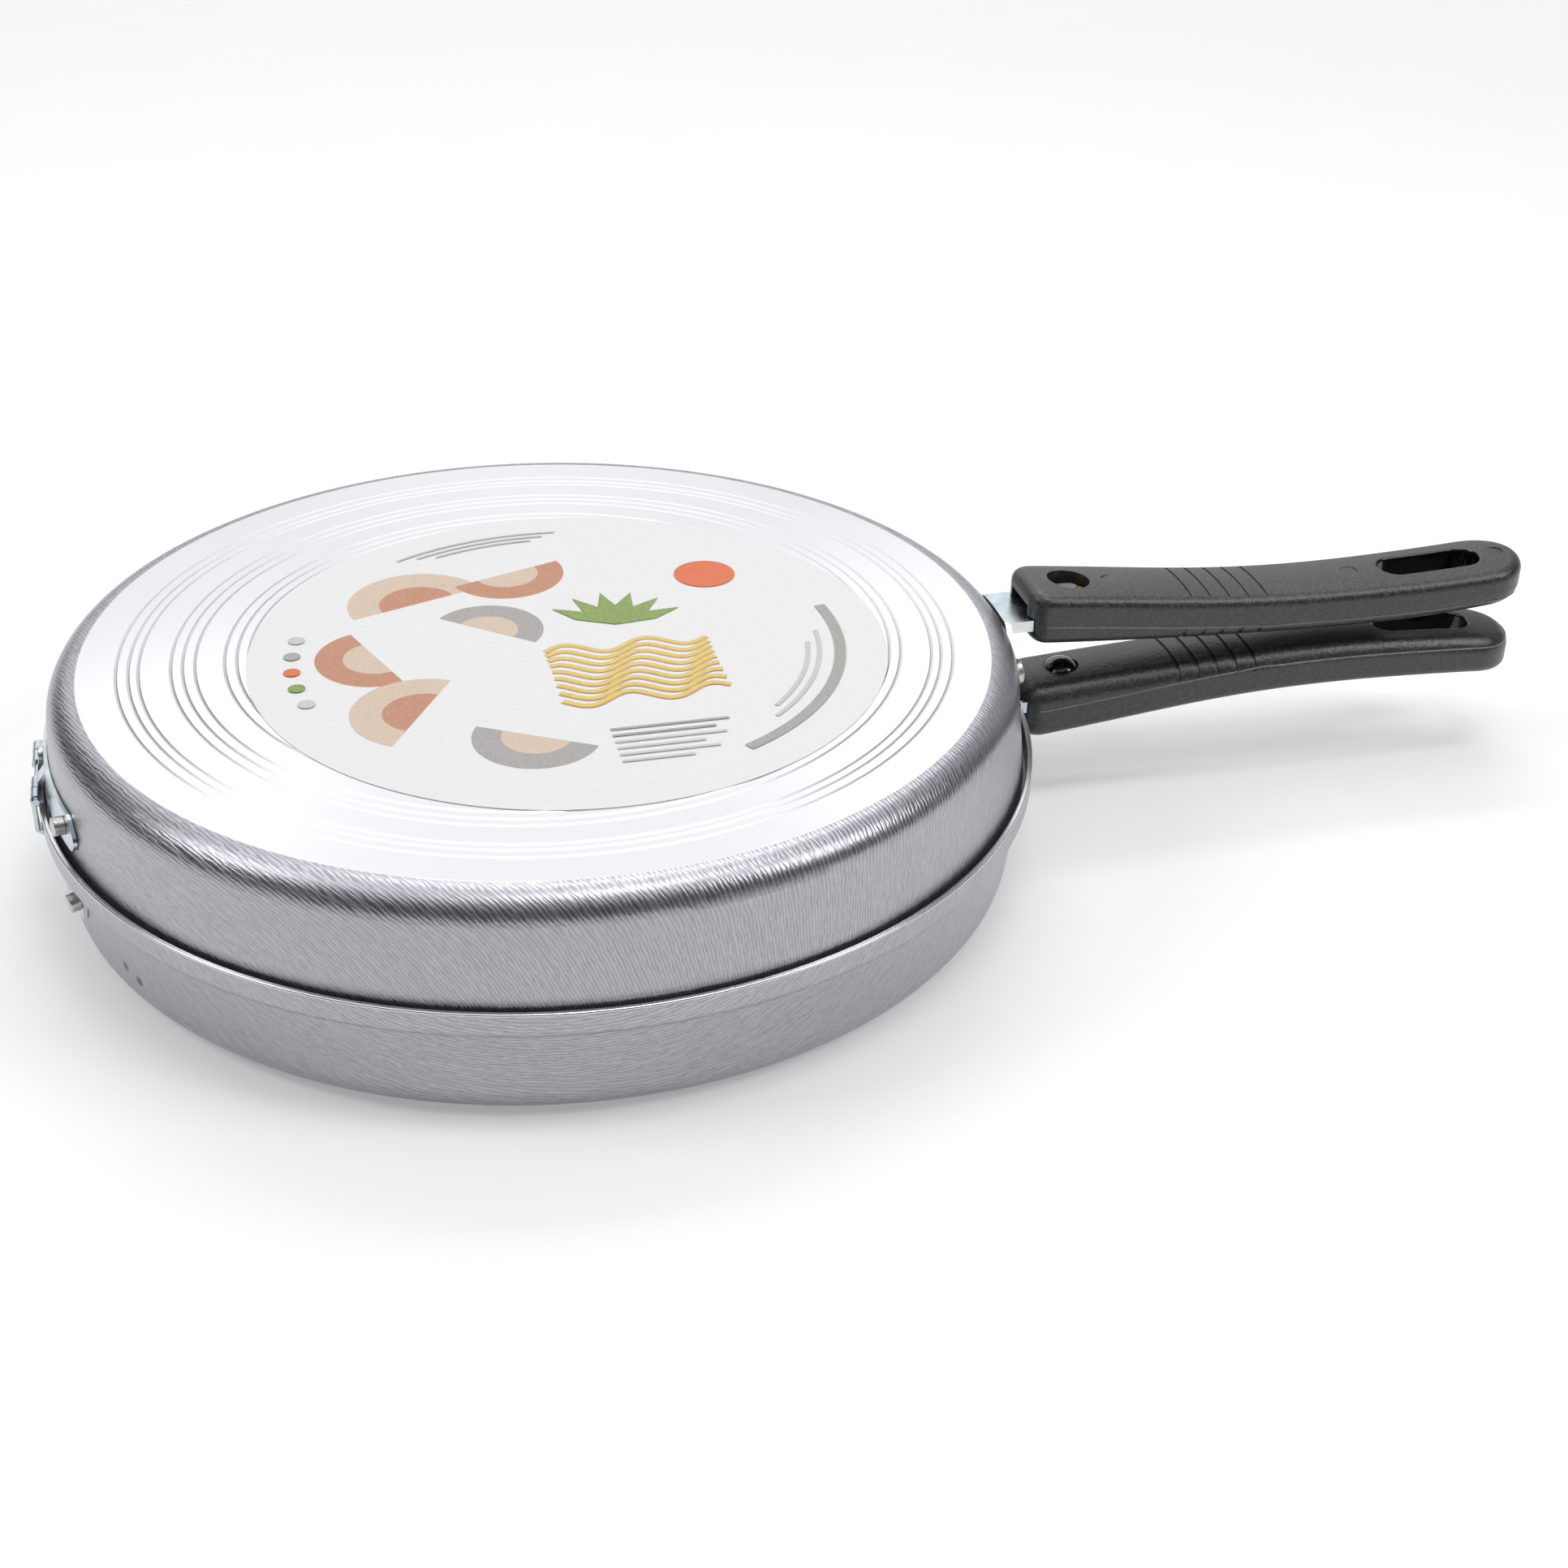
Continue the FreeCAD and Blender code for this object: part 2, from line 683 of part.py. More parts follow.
def upper_bracket():
    bottom = on_upper_wall(upper_bracket_bottom_share)
    top = handle_plane_height + tang_outer_height
    outline = upper_outline(bottom, top)
    plate = wall_skin(outline, bracket_thickness, bracket_half_width, 0)
    plate = plate.common(facing_prism(bracket_outline(bottom, top), bracket_corner_round, 1))
    root = outline[-1][0] + seat_gap + bracket_thickness / 2
    return plate.fuse(tang(root)).removeSplitter()


def lower_bracket():
    bottom = on_lower_wall(lower_bracket_bottom_share)
    top = handle_plane_height - tang_inner_height
    outline = lower_outline(bottom, top)
    plate = wall_skin(outline, bracket_thickness, bracket_half_width, 0)
    plate = plate.common(facing_prism(bracket_outline(bottom, top), bracket_corner_round, 1))
    root = outline[-1][0] + seat_gap + bracket_thickness / 2
    return plate.fuse(across_handle_plane(tang(root))).removeSplitter()


def paper_label():
    return Part.makeCylinder(label_radius, label_thickness,
                             Vector(label_shift_x, label_shift_y, total_height))


def rivet_places(height, angles_deg, azimuth_deg, upper):
    radius = wall_radius(total_height - height if upper else height)
    return [wall_frame(radius, height, azimuth_deg + angle, upper) for angle in angles_deg]


def riveted(pieces, pan, plate, places, make, shank, stem):
    """Drills a pan and a plate for each rivet and adds the rivets, one node each."""
    for number, place in enumerate(places, 1):
        hole = rivet_hole(place, shank)
        pieces[pan] = pieces[pan].cut(hole)
        pieces[plate] = pieces[plate].cut(hole)
        pieces[stem + "_" + str(number)] = make(place)


def all_pieces():
    handle = moulded_handle()
    screw = handle_screw()
    nut = handle_nut()
    pieces = {
        "lower_pan": lower_pan_blank(),
        "upper_pan": upper_pan_blank(),
        "paper_label": paper_label(),
        "lower_hinge_leaf": lower_hinge_leaf(),
        "upper_hinge_leaf": upper_hinge_leaf(),
        "hinge_pin": hinge_pin(),
        "lower_bracket": lower_bracket(),
        "upper_bracket": upper_bracket(),
        "lower_handle": across_handle_plane(handle),
        "upper_handle": handle,
        "lower_handle_screw": across_handle_plane(screw),
        "upper_handle_screw": screw,
        "lower_handle_nut": across_handle_plane(nut),
        "upper_handle_nut": nut,
    }
    lower_leaf_rivets = rivet_places(on_lower_wall(lower_hinge_rivet_share),
                                     lower_hinge_rivet_angles_deg, 180, False)
    upper_leaf_rivets = rivet_places(on_upper_wall(upper_hinge_rivet_share),
                                     upper_hinge_rivet_angles_deg, 180, True)
    upper_leaf_middle = rivet_places(on_upper_wall(upper_hinge_rivet_share), (0,), 180, True)
    lower_bracket_rivets = rivet_places(on_lower_wall(lower_bracket_rivet_share),
                                        bracket_rivet_angles_deg, 0, False)
    upper_bracket_rivets = rivet_places(on_upper_wall(upper_bracket_rivet_share),
                                        bracket_rivet_angles_deg, 0, True)
    riveted(pieces, "lower_pan", "lower_hinge_leaf", lower_leaf_rivets, hinge_rivet,
            hinge_rivet_shank_radius, "lower_hinge_rivet")
    riveted(pieces, "upper_pan", "upper_hinge_leaf", upper_leaf_rivets, hinge_rivet,
            hinge_rivet_shank_radius, "upper_hinge_rivet")
    riveted(pieces, "upper_pan", "upper_hinge_leaf", upper_leaf_middle, low_hinge_rivet,
            hinge_rivet_shank_radius, "upper_hinge_low_rivet")
    riveted(pieces, "lower_pan", "lower_bracket", lower_bracket_rivets, bracket_rivet,
            bracket_rivet_shank_radius, "lower_bracket_rivet")
    riveted(pieces, "upper_pan", "upper_bracket", upper_bracket_rivets, bracket_rivet,
            bracket_rivet_shank_radius, "upper_bracket_rivet")
    return pieces


os.makedirs("parts", exist_ok=True)
for name, shape in all_pieces().items():
    box = shape.BoundBox
    print(name, "solids", len(shape.Solids), "valid", shape.isValid(),
          "volume", round(shape.Volume, 1),
          "box", [round(v, 2) for v in (box.XMin, box.YMin, box.ZMin, box.XMax, box.YMax, box.ZMax)])
    shape.exportStep("parts/" + name + ".step")
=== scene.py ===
"""Looks of a double sided flip pan, laid out as an add-on that is run as a script.

The fixed frame holds every solid piece. This file gives each of them its finish, adds the
label's print, the mould seams of the handles and the threads of the screws, and sets up a
plain pale studio with the camera at the photo's angle. Lengths are metres in the row frame.
Values with _mm in their name, and places and fields inside a material, are millimetres.
"""

import math

import bpy
from mathutils import Matrix, Vector
from mathutils.bvhtree import BVHTree


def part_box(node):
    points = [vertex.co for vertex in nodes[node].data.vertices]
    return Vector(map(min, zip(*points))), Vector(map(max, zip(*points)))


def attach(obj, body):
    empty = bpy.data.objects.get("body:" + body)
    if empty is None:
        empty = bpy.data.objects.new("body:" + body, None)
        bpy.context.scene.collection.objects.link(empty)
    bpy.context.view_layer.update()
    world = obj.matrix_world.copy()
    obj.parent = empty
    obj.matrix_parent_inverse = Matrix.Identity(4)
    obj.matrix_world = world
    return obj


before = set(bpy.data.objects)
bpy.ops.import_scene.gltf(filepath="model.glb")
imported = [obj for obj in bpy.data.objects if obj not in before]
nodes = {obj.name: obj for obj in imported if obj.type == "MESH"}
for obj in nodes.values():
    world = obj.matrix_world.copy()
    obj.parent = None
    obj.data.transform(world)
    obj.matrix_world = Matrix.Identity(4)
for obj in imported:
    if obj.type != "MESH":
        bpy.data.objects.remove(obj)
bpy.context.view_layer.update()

bl_info = {
    "name": "Double sided flip pan looks",
    "version": (1, 0, 0),
    "blender": (4, 5, 0),
    "location": "View3D > Sidebar > Flip Pan",
    "description": "Finishes, label print, mould seams and studio for a double sided flip pan",
    "category": "Object",
}

MM = 0.001

# Sizes that the finishes are told apart by, read from the frame where it has them
pair_height_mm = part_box("upper_pan")[1].z / MM
disc_radius_mm = 119.0
shoulder_radius_mm = 8.0
wall_draft = math.radians(5.8)
slot_half_run_mm = 10.2
scuff_centres_mm = ((-112.2, -59.4, 12.5), (-109.4, -64.5, 11.0))
label_low, label_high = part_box("paper_label")
label_centre = (label_low + label_high) / 2

# Settings that nodes share. A Mix node takes its share at input 0, numbers at 2 and 3,
# directions at 4 and 5, and colours at 6 and 7
SOFT_STEP = {"interpolation_type": "SMOOTHSTEP"}
DIRECTIONS = {"out": 1, "data_type": "VECTOR"}
COLOURS = {"out": 2, "data_type": "RGBA"}


def linear(hex_colour):
    """sRGB hex to the linear colour, with alpha, that a shader socket takes."""
    parts = [int(hex_colour[i:i + 2], 16) / 255 for i in (1, 3, 5)]
    return tuple(p / 12.92 if p <= 0.04045 else ((p + 0.055) / 1.055) ** 2.4
                 for p in parts) + (1.0,)


def feed(tree, node, inputs):
    """Links a node's inputs to the sockets given for them, or sets them to the values given."""
    for name, value in inputs.items():
        if isinstance(value, bpy.types.NodeSocket):
            tree.links.new(value, node.inputs[name])
        else:
            node.inputs[name].default_value = value


def add(tree, kind, inputs, out=0, **settings):
    """Adds a node, gives it its settings and inputs, and returns one of its outputs."""
    node = tree.nodes.new(kind)
    for name, value in settings.items():
        setattr(node, name, value)
    feed(tree, node, inputs)
    return node.outputs[out]


def new_material(name):
    """New principled material with its tree, its shader and the place on the object."""
    material = bpy.data.materials.new(name)
    material.use_nodes = True
    tree = material.node_tree
    metres = add(tree, "ShaderNodeTexCoord", {}, "Object")
    place = add(tree, "ShaderNodeVectorMath", {0: metres, 3: 1 / MM}, operation="SCALE")
    return material, tree, tree.nodes["Principled BSDF"], place


def dress(obj, material):
    obj.data.materials.clear()
    obj.data.materials.append(material)
    for polygon in obj.data.polygons:
        polygon.use_smooth = True


# Finishes


def sheet_fields(tree, place, upper):
    """Radius, height above the pan's own base, depth in the metal and the place on the flat
    sheet that a pan was pressed from."""
    x, y, height = add(tree, "ShaderNodeSeparateXYZ", {0: place}).node.outputs
    flat = add(tree, "ShaderNodeCombineXYZ", {0: x, 1: y})
    radius = add(tree, "ShaderNodeVectorMath", {0: flat}, "Value", operation="LENGTH")
    if upper:
        height = add(tree, "ShaderNodeMath", {0: pair_height_mm, 1: height},
                     operation="SUBTRACT")
    # How far the drafted wall has leant out at this height
    leant = height
    for operation, by in (("SUBTRACT", shoulder_radius_mm), ("MAXIMUM", 0.0),
                          ("MULTIPLY", math.tan(wall_draft))):
        leant = add(tree, "ShaderNodeMath", {0: leant, 1: by}, operation=operation)
    # Out and down from the centre of the shoulder's round
    outward = radius
    for operation, by in (("SUBTRACT", leant), ("SUBTRACT", disc_radius_mm),
                          ("MAXIMUM", 0.0)):
        outward = add(tree, "ShaderNodeMath", {0: outward, 1: by}, operation=operation)
    down = add(tree, "ShaderNodeMath", {0: shoulder_radius_mm, 1: height},
               operation="SUBTRACT")
    down = add(tree, "ShaderNodeMath", {0: down, 1: 0.0}, operation="MAXIMUM")
    corner = add(tree, "ShaderNodeCombineXYZ", {0: outward, 1: down})
    from_centre = add(tree, "ShaderNodeVectorMath", {0: corner}, "Value", operation="LENGTH")
    depth = add(tree, "ShaderNodeMath", {0: shoulder_radius_mm, 1: from_centre},
                operation="SUBTRACT")
    # What is now up the wall lay that much further out in the flat sheet
    run = add(tree, "ShaderNodeMath", {0: radius, 1: 1.0}, operation="MAXIMUM")
    rise = add(tree, "ShaderNodeMath", {0: height, 1: run}, operation="DIVIDE")
    stretch = add(tree, "ShaderNodeMath", {0: 1.0, 1: rise}, operation="ADD")
    sheet = add(tree, "ShaderNodeVectorMath", {0: flat, 3: stretch}, operation="SCALE")
    return radius, height, depth, sheet


def rolled_grain(tree, sheet, turn, across_mm, along_mm):
    """Wrinkles of a textured sheet that all run one way, as it left the rolls."""
    laid = add(tree, "ShaderNodeMapping", {"Vector": sheet, "Rotation": (0.0, 0.0, turn),
                                           "Scale": (along_mm, across_mm, 1.0)},
               vector_type="TEXTURE")
    # At a scale of pi / 10 the wave repeats once per unit, so once per wrinkle
    lines = add(tree, "ShaderNodeTexWave", {"Vector": laid, "Scale": math.pi / 10,
                                            "Distortion": 5.0, "Detail": 2.0,
                                            "Detail Scale": 3.0}, "Fac",
                bands_direction="Y")
    breaks = add(tree, "ShaderNodeTexNoise", {"Vector": laid, "Scale": 1.0, "Detail": 1.0})
    return add(tree, "ShaderNodeMix", {0: 0.35, 2: lines, 3: breaks})


def silver_paint(tree, place, height, sheet, turn, settings):
    """Paint with aluminium flake over the rolled grain, whose wrinkles show through it.
    Returns its colour, roughness and relief."""
    # Pressing over the shoulder has stretched the grain to a quarter more than its size
    shoulder = add(tree, "ShaderNodeMapRange",
                   {"Value": height, "From Min": 15.0, "From Max": 6.0}, **SOFT_STEP)
    width, length = settings.grain_width / MM, settings.grain_length / MM
    fine = rolled_grain(tree, sheet, turn, width, length)
    coarse = rolled_grain(tree, sheet, turn + math.radians(6), 1.25 * width, 1.25 * length)
    grain = add(tree, "ShaderNodeMix", {0: shoulder, 2: fine, 3: coarse})
    # It stands higher there, and is pressed out of the rim, which leaves the edge smooth
    depth = add(tree, "ShaderNodeMix", {0: shoulder, 2: settings.grain_depth,
                                        3: 1.8 * settings.grain_depth})
    below_rim = add(tree, "ShaderNodeMapRange",
                    {"Value": height, "From Min": 32.4, "From Max": 31.2}, **SOFT_STEP)
    depth = add(tree, "ShaderNodeMath", {0: below_rim, 1: depth}, operation="MULTIPLY")
    relief = add(tree, "ShaderNodeBump", {"Height": grain, "Distance": depth, "Strength": 1.0})
    # Each flake mirrors a little more or less than its neighbours
    flake = add(tree, "ShaderNodeTexNoise", {"Vector": place, "Scale": 2.6, "Detail": 1.0})
    crests = add(tree, "ShaderNodeMapRange",
                 {"Value": grain, "From Min": 0.15, "From Max": 0.85}, **SOFT_STEP)
    tone = add(tree, "ShaderNodeMix", {0: 0.3, 2: crests, 3: flake})
    colour = add(tree, "ShaderNodeMix", {0: tone, 6: settings.paint_dark,
                                         7: settings.paint_pale}, **COLOURS)
    rough = add(tree, "ShaderNodeMix", {0: grain, 2: settings.paint_roughness - 0.05,
                                        3: settings.paint_roughness + 0.08})
    return colour, rough, relief


def lower_marks_and_shade(tree, place, radius, height, colour, rough):
    """Scuffs, bright lip and painted shade under the lip, shown only by the lower pan's paint."""
    scuffs = 0.0
    for centre in scuff_centres_mm:
        away = add(tree, "ShaderNodeVectorMath", {0: place, 1: centre}, "Value",
                   operation="DISTANCE")
        scuff = add(tree, "ShaderNodeMapRange",
                    {"Value": away, "From Min": 1.9, "From Max": 0.8}, **SOFT_STEP)
        scuffs = add(tree, "ShaderNodeMath", {0: scuffs, 1: scuff}, operation="MAXIMUM")
    # Borders of the bright lip, then of the band of painted shade on the step below it
    borders = []
    for field, start, end in ((height, 32.45, 32.6), (radius, 130.2, 130.4),
                              (height, 25.3, 25.9), (height, 27.0, 26.4)):
        borders.append(add(tree, "ShaderNodeMapRange", {"Value": field, "From Min": start,
                                                        "From Max": end}, **SOFT_STEP))
    lip = add(tree, "ShaderNodeMath", {0: borders[0], 1: borders[1]}, operation="MULTIPLY")
    # Painted shade: the step under the lip is darkened for the shade that falls there
    painted_step_shade = add(tree, "ShaderNodeMath", {0: borders[2], 1: borders[3]}, operation="MULTIPLY")
    painted_step_shade = add(tree, "ShaderNodeMath", {0: painted_step_shade, 1: 0.85}, operation="MULTIPLY")
    scuffs = add(tree, "ShaderNodeMath", {0: scuffs, 1: 0.8}, operation="MULTIPLY")
    # The scuffs are rubbed dark. The paint stops short of the lip's cut edge, which is left
    # as a bright line. The step below the lip is darkened as painted shade
    for share, tone in ((scuffs, "#3f3f42"), (lip, "#e6e6ea"), (painted_step_shade, "#6f6f73")):
        colour = add(tree, "ShaderNodeMix", {0: share, 6: colour, 7: linear(tone)}, **COLOURS)
    rough = add(tree, "ShaderNodeMix", {0: lip, 2: rough, 3: 0.2})
    return colour, rough


def turned_base(tree, radius):
    """Bare turned aluminium: tool lines run round it, so reflections smear along the radius.
    Returns its colour, roughness and relief."""
    # The real lines are 0.1 mm apart; they are drawn at 0.45 mm, so that they show
    across = add(tree, "ShaderNodeCombineXYZ", {0: radius})
    lines = add(tree, "ShaderNodeTexNoise", {"Vector": across, "Scale": 2.2, "Detail": 4.0,
                                             "Roughness": 0.7})
    colour = add(tree, "ShaderNodeMix", {0: lines, 6: linear("#dcdcdf"),
                                         7: linear("#f2f2f4")}, **COLOURS)
    rough = add(tree, "ShaderNodeMix", {0: lines, 2: 0.25, 3: 0.36})
    relief = add(tree, "ShaderNodeBump", {"Height": lines, "Distance": 0.012 * MM,
                                          "Strength": 1.0})
    return colour, rough, relief


def stone_effect(tree, place):
    """Non-stick coating: dark grey with paler and near-black specks 0.8 mm across.
    Returns its colour and relief."""
    specks = add(tree, "ShaderNodeTexVoronoi", {"Vector": place, "Scale": 0.75}, "Distance")
    chance = add(tree, "ShaderNodeSeparateColor", {0: specks.node.outputs["Color"]})
    clouds = add(tree, "ShaderNodeTexNoise", {"Vector": place, "Scale": 0.12, "Detail": 3.0})
    colour = add(tree, "ShaderNodeMix", {0: clouds, 6: linear("#2e2d2c"),
                                         7: linear("#3c3a38")}, **COLOURS)
    # About one cell in five holds a pale speck, and another one in five a dark one
    for edge, core, none, sure, tone in ((0.36, 0.26, 0.78, 0.8, "#8f8a82"),
                                         (0.4, 0.3, 0.2, 0.18, "#141414")):
        speck = add(tree, "ShaderNodeMapRange", {"Value": specks, "From Min": edge,
                                                 "From Max": core}, **SOFT_STEP)
        picked = add(tree, "ShaderNodeMapRange", {"Value": chance, "From Min": none,
                                                  "From Max": sure}, **SOFT_STEP)
        share = add(tree, "ShaderNodeMath", {0: speck, 1: picked}, operation="MULTIPLY")
        colour = add(tree, "ShaderNodeMix", {0: share, 6: colour, 7: linear(tone)}, **COLOURS)
    grit = add(tree, "ShaderNodeTexNoise", {"Vector": place, "Scale": 1.1})
    relief = add(tree, "ShaderNodeBump", {"Height": grit, "Distance": 0.05 * MM,
                                          "Strength": 1.0})
    return colour, relief


def painted_pan(name, upper, turn, settings):
    """Silver paint on textured sheet outside, turned bare aluminium base, stone-effect inside."""
    material, tree, shader, place = new_material(name)
    radius, height, depth, sheet = sheet_fields(tree, place, upper)
    colour, rough, relief = silver_paint(tree, place, height, sheet, turn, settings)
    if not upper:
        colour, rough = lower_marks_and_shade(tree, place, radius, height, colour, rough)
    bare, bare_rough, rings = turned_base(tree, radius)
    stone, grit = stone_effect(tree, place)
    # Borders of the disc's edge, the disc's face and the coating inside
    borders = []
    for field, start, end in ((radius, disc_radius_mm + 0.25, disc_radius_mm - 0.05),
                              (height, 0.9, 0.5), (depth, 0.75, 0.85)):
        borders.append(add(tree, "ShaderNodeMapRange", {"Value": field, "From Min": start,
                                                        "From Max": end}, **SOFT_STEP))
    on_disc = add(tree, "ShaderNodeMath", {0: borders[0], 1: borders[1]},
                  operation="MULTIPLY")
    metal = settings.flake_share
    for share, over_colour, over_metal, over_rough, over_relief in (
            (on_disc, bare, 1.0, bare_rough, rings), (borders[2], stone, 0.0, 0.42, grit)):
        colour = add(tree, "ShaderNodeMix", {0: share, 6: colour, 7: over_colour}, **COLOURS)
        metal = add(tree, "ShaderNodeMix", {0: share, 2: metal, 3: over_metal})
        rough = add(tree, "ShaderNodeMix", {0: share, 2: rough, 3: over_rough})
        relief = add(tree, "ShaderNodeMix", {0: share, 4: relief, 5: over_relief},
                     **DIRECTIONS)
    round_the_disc = add(tree, "ShaderNodeTangent", {}, direction_type="RADIAL", axis="Z")
    smear = add(tree, "ShaderNodeMath", {0: on_disc, 1: 0.75}, operation="MULTIPLY")
    feed(tree, shader, {"Base Color": colour, "Metallic": metal, "Roughness": rough,
                        "Normal": relief, "Tangent": round_the_disc, "Anisotropic": smear})
    return material


def phenolic(name, dark, pale, settings):
    """Compression-moulded phenolic: near black, with a fine spark-eroded grain that breaks
    highlights into dots; the walls of the hanging slot were not grained and stay glossy.
    Seams are the same resin, scraped paler, and paler still as painted highlight on their raised
    line."""
    material, tree, shader, place = new_material(name)
    # The real grain is near 0.5 mm; it is drawn at 0.9 mm, so that it shows
    grain = add(tree, "ShaderNodeTexNoise", {"Vector": place, "Roughness": 0.6,
                                             "Scale": 1 / (settings.handle_grain / MM)})
    # Distance from the middle line of the hanging slot, whose ends are round
    x, y = add(tree, "ShaderNodeSeparateXYZ", {0: place}).node.outputs[:2]
    along = x
    for operation, by in (("SUBTRACT", settings.slot_place / MM), ("ABSOLUTE", 0.0),
                          ("SUBTRACT", slot_half_run_mm), ("MAXIMUM", 0.0)):
        along = add(tree, "ShaderNodeMath", {0: along, 1: by}, operation=operation)
    off_line = add(tree, "ShaderNodeCombineXYZ", {0: along, 1: y})
    from_slot = add(tree, "ShaderNodeVectorMath", {0: off_line}, "Value", operation="LENGTH")
    in_slot = add(tree, "ShaderNodeMapRange", {"Value": from_slot, "From Min": 5.9,
                                               "From Max": 5.5}, **SOFT_STEP)
    crests = add(tree, "ShaderNodeMapRange", {"Value": grain, "From Min": 0.35,
                                              "From Max": 0.7}, **SOFT_STEP)
    patches = add(tree, "ShaderNodeTexNoise", {"Vector": place, "Scale": 0.09})
    patches = add(tree, "ShaderNodeMath", {0: patches, 1: 0.35}, operation="MULTIPLY")
    colour = add(tree, "ShaderNodeMix", {0: crests, 6: dark, 7: pale}, **COLOURS)
    for share, tone in ((patches, "#333331"), (in_slot, "#101010")):
        colour = add(tree, "ShaderNodeMix", {0: share, 6: colour, 7: linear(tone)}, **COLOURS)
    rough = add(tree, "ShaderNodeMix", {0: grain, 2: 0.26, 3: 0.4})
    rough = add(tree, "ShaderNodeMix", {0: in_slot, 2: rough, 3: 0.1})
    depth = add(tree, "ShaderNodeMix", {0: in_slot, 2: settings.handle_grain_depth, 3: 0.0})
    relief = add(tree, "ShaderNodeBump", {"Height": grain, "Distance": depth, "Strength": 1.0})
    feed(tree, shader, {"Base Color": colour, "Roughness": rough, "IOR": 1.6,
                        "Normal": relief})
    return material


def zinc_plate():
    """Clear blue passivated zinc: bright, cool, with faint spangle and rolling lines."""
    material, tree, shader, place = new_material("zinc-plated pressed steel")
    spangle = add(tree, "ShaderNodeTexVoronoi", {"Vector": place, "Scale": 0.35}, "Color")
    shade = add(tree, "ShaderNodeSeparateColor", {0: spangle}, 1)
    shade = add(tree, "ShaderNodeMath", {0: shade, 1: 0.3}, operation="MULTIPLY")
    cloud = add(tree, "ShaderNodeTexNoise", {"Vector": place, "Scale": 0.16, "Detail": 3.0})
    film = add(tree, "ShaderNodeMapRange", {"Value": cloud, "From Min": 0.35,
                                            "From Max": 0.65}, **SOFT_STEP)
    colour = add(tree, "ShaderNodeMix", {0: film, 6: linear("#bccbd6"),
                                         7: linear("#dfe2e0")}, **COLOURS)
    colour = add(tree, "ShaderNodeMix", {0: shade, 6: colour, 7: linear("#a9bccb")},
                 **COLOURS)
    rough = add(tree, "ShaderNodeMix", {0: cloud, 2: 0.16, 3: 0.34})
    rolled = add(tree, "ShaderNodeMapping", {"Vector": place, "Scale": (2.5, 0.12, 2.5)})
    lines = add(tree, "ShaderNodeTexNoise", {"Vector": rolled, "Scale": 1.0, "Detail": 3.0})
    relief = add(tree, "ShaderNodeBump", {"Height": lines, "Distance": 0.01 * MM,
                                          "Strength": 1.0})
    feed(tree, shader, {"Base Color": colour, "Metallic": 1.0, "Roughness": rough,
                        "Normal": relief})
    return material


def headed_aluminium():
    """Cold-headed aluminium rivet: soft grey, faintly dimpled, with a brownish handling film."""
    material, tree, shader, place = new_material("cold-headed aluminium")
    dirt = add(tree, "ShaderNodeTexNoise", {"Vector": place, "Scale": 0.9, "Detail": 3.0})
    film = add(tree, "ShaderNodeMapRange", {"Value": dirt, "From Min": 0.4,
                                            "From Max": 0.7}, **SOFT_STEP)
    colour = add(tree, "ShaderNodeMix", {0: film, 6: linear("#d6d5d2"),
                                         7: linear("#a9a59f")}, **COLOURS)
    rough = add(tree, "ShaderNodeMix", {0: dirt, 2: 0.26, 3: 0.5})
    dimples = add(tree, "ShaderNodeTexNoise", {"Vector": place, "Scale": 2.4})
    relief = add(tree, "ShaderNodeBump", {"Height": dimples, "Distance": 0.03 * MM,
                                          "Strength": 1.0})
    feed(tree, shader, {"Base Color": colour, "Metallic": 1.0, "Roughness": rough,
                        "Normal": relief})
    return material


def lacquered_steel():
    """Black lacquered screw: a clear glossy dome that mirrors the lamps sharply."""
    material, tree, shader, place = new_material("black lacquered steel")
    thick = add(tree, "ShaderNodeTexNoise", {"Vector": place, "Scale": 0.5})
    colour = add(tree, "ShaderNodeMix", {0: thick, 6: linear("#0d0d0d"),
                                         7: linear("#1b1a19")}, **COLOURS)
    rough = add(tree, "ShaderNodeMix", {0: thick, 2: 0.06, 3: 0.12})
    feed(tree, shader, {"Base Color": colour, "Roughness": rough, "Coat Weight": 0.6,
                        "Coat Roughness": 0.05})
    return material


def turned_brass():
    """Turned brass nut, seen only as a warm edge down its hole."""
    material, tree, shader, place = new_material("turned brass")
    wear = add(tree, "ShaderNodeTexNoise", {"Vector": place, "Scale": 1.2, "Detail": 3.0})
    colour = add(tree, "ShaderNodeMix", {0: wear, 6: linear("#d9b56c"),
                                         7: linear("#a98645")}, **COLOURS)
    rough = add(tree, "ShaderNodeMix", {0: wear, 2: 0.22, 3: 0.4})
    feed(tree, shader, {"Base Color": colour, "Metallic": 1.0, "Roughness": rough})
    return material


def coated_paper(name, hex_low, hex_high, drawn_mm):
    """Clay-coated paper, bare or under ink: slight sheen, faint fibre relief, ink a little
    uneven at the size of a printing screen drawn coarser than its real 0.15 mm."""
    material, tree, shader, place = new_material(name)
    screen = add(tree, "ShaderNodeTexNoise", {"Vector": place, "Scale": 1 / drawn_mm,
                                              "Roughness": 0.65})
    dots = add(tree, "ShaderNodeMapRange", {"Value": screen, "From Min": 0.3,
                                            "From Max": 0.7}, **SOFT_STEP)
    colour = add(tree, "ShaderNodeMix", {0: dots, 6: linear(hex_low), 7: linear(hex_high)},
                 **COLOURS)
    fibre = add(tree, "ShaderNodeTexNoise", {"Vector": place, "Scale": 1.4, "Detail": 3.0})
    rough = add(tree, "ShaderNodeMix", {0: fibre, 2: 0.42, 3: 0.55})
    relief = add(tree, "ShaderNodeBump", {"Height": fibre, "Distance": 0.01 * MM,
                                          "Strength": 1.0})
    feed(tree, shader, {"Base Color": colour, "Roughness": rough, "IOR": 1.5,
                        "Normal": relief})
    return material


# Shapes


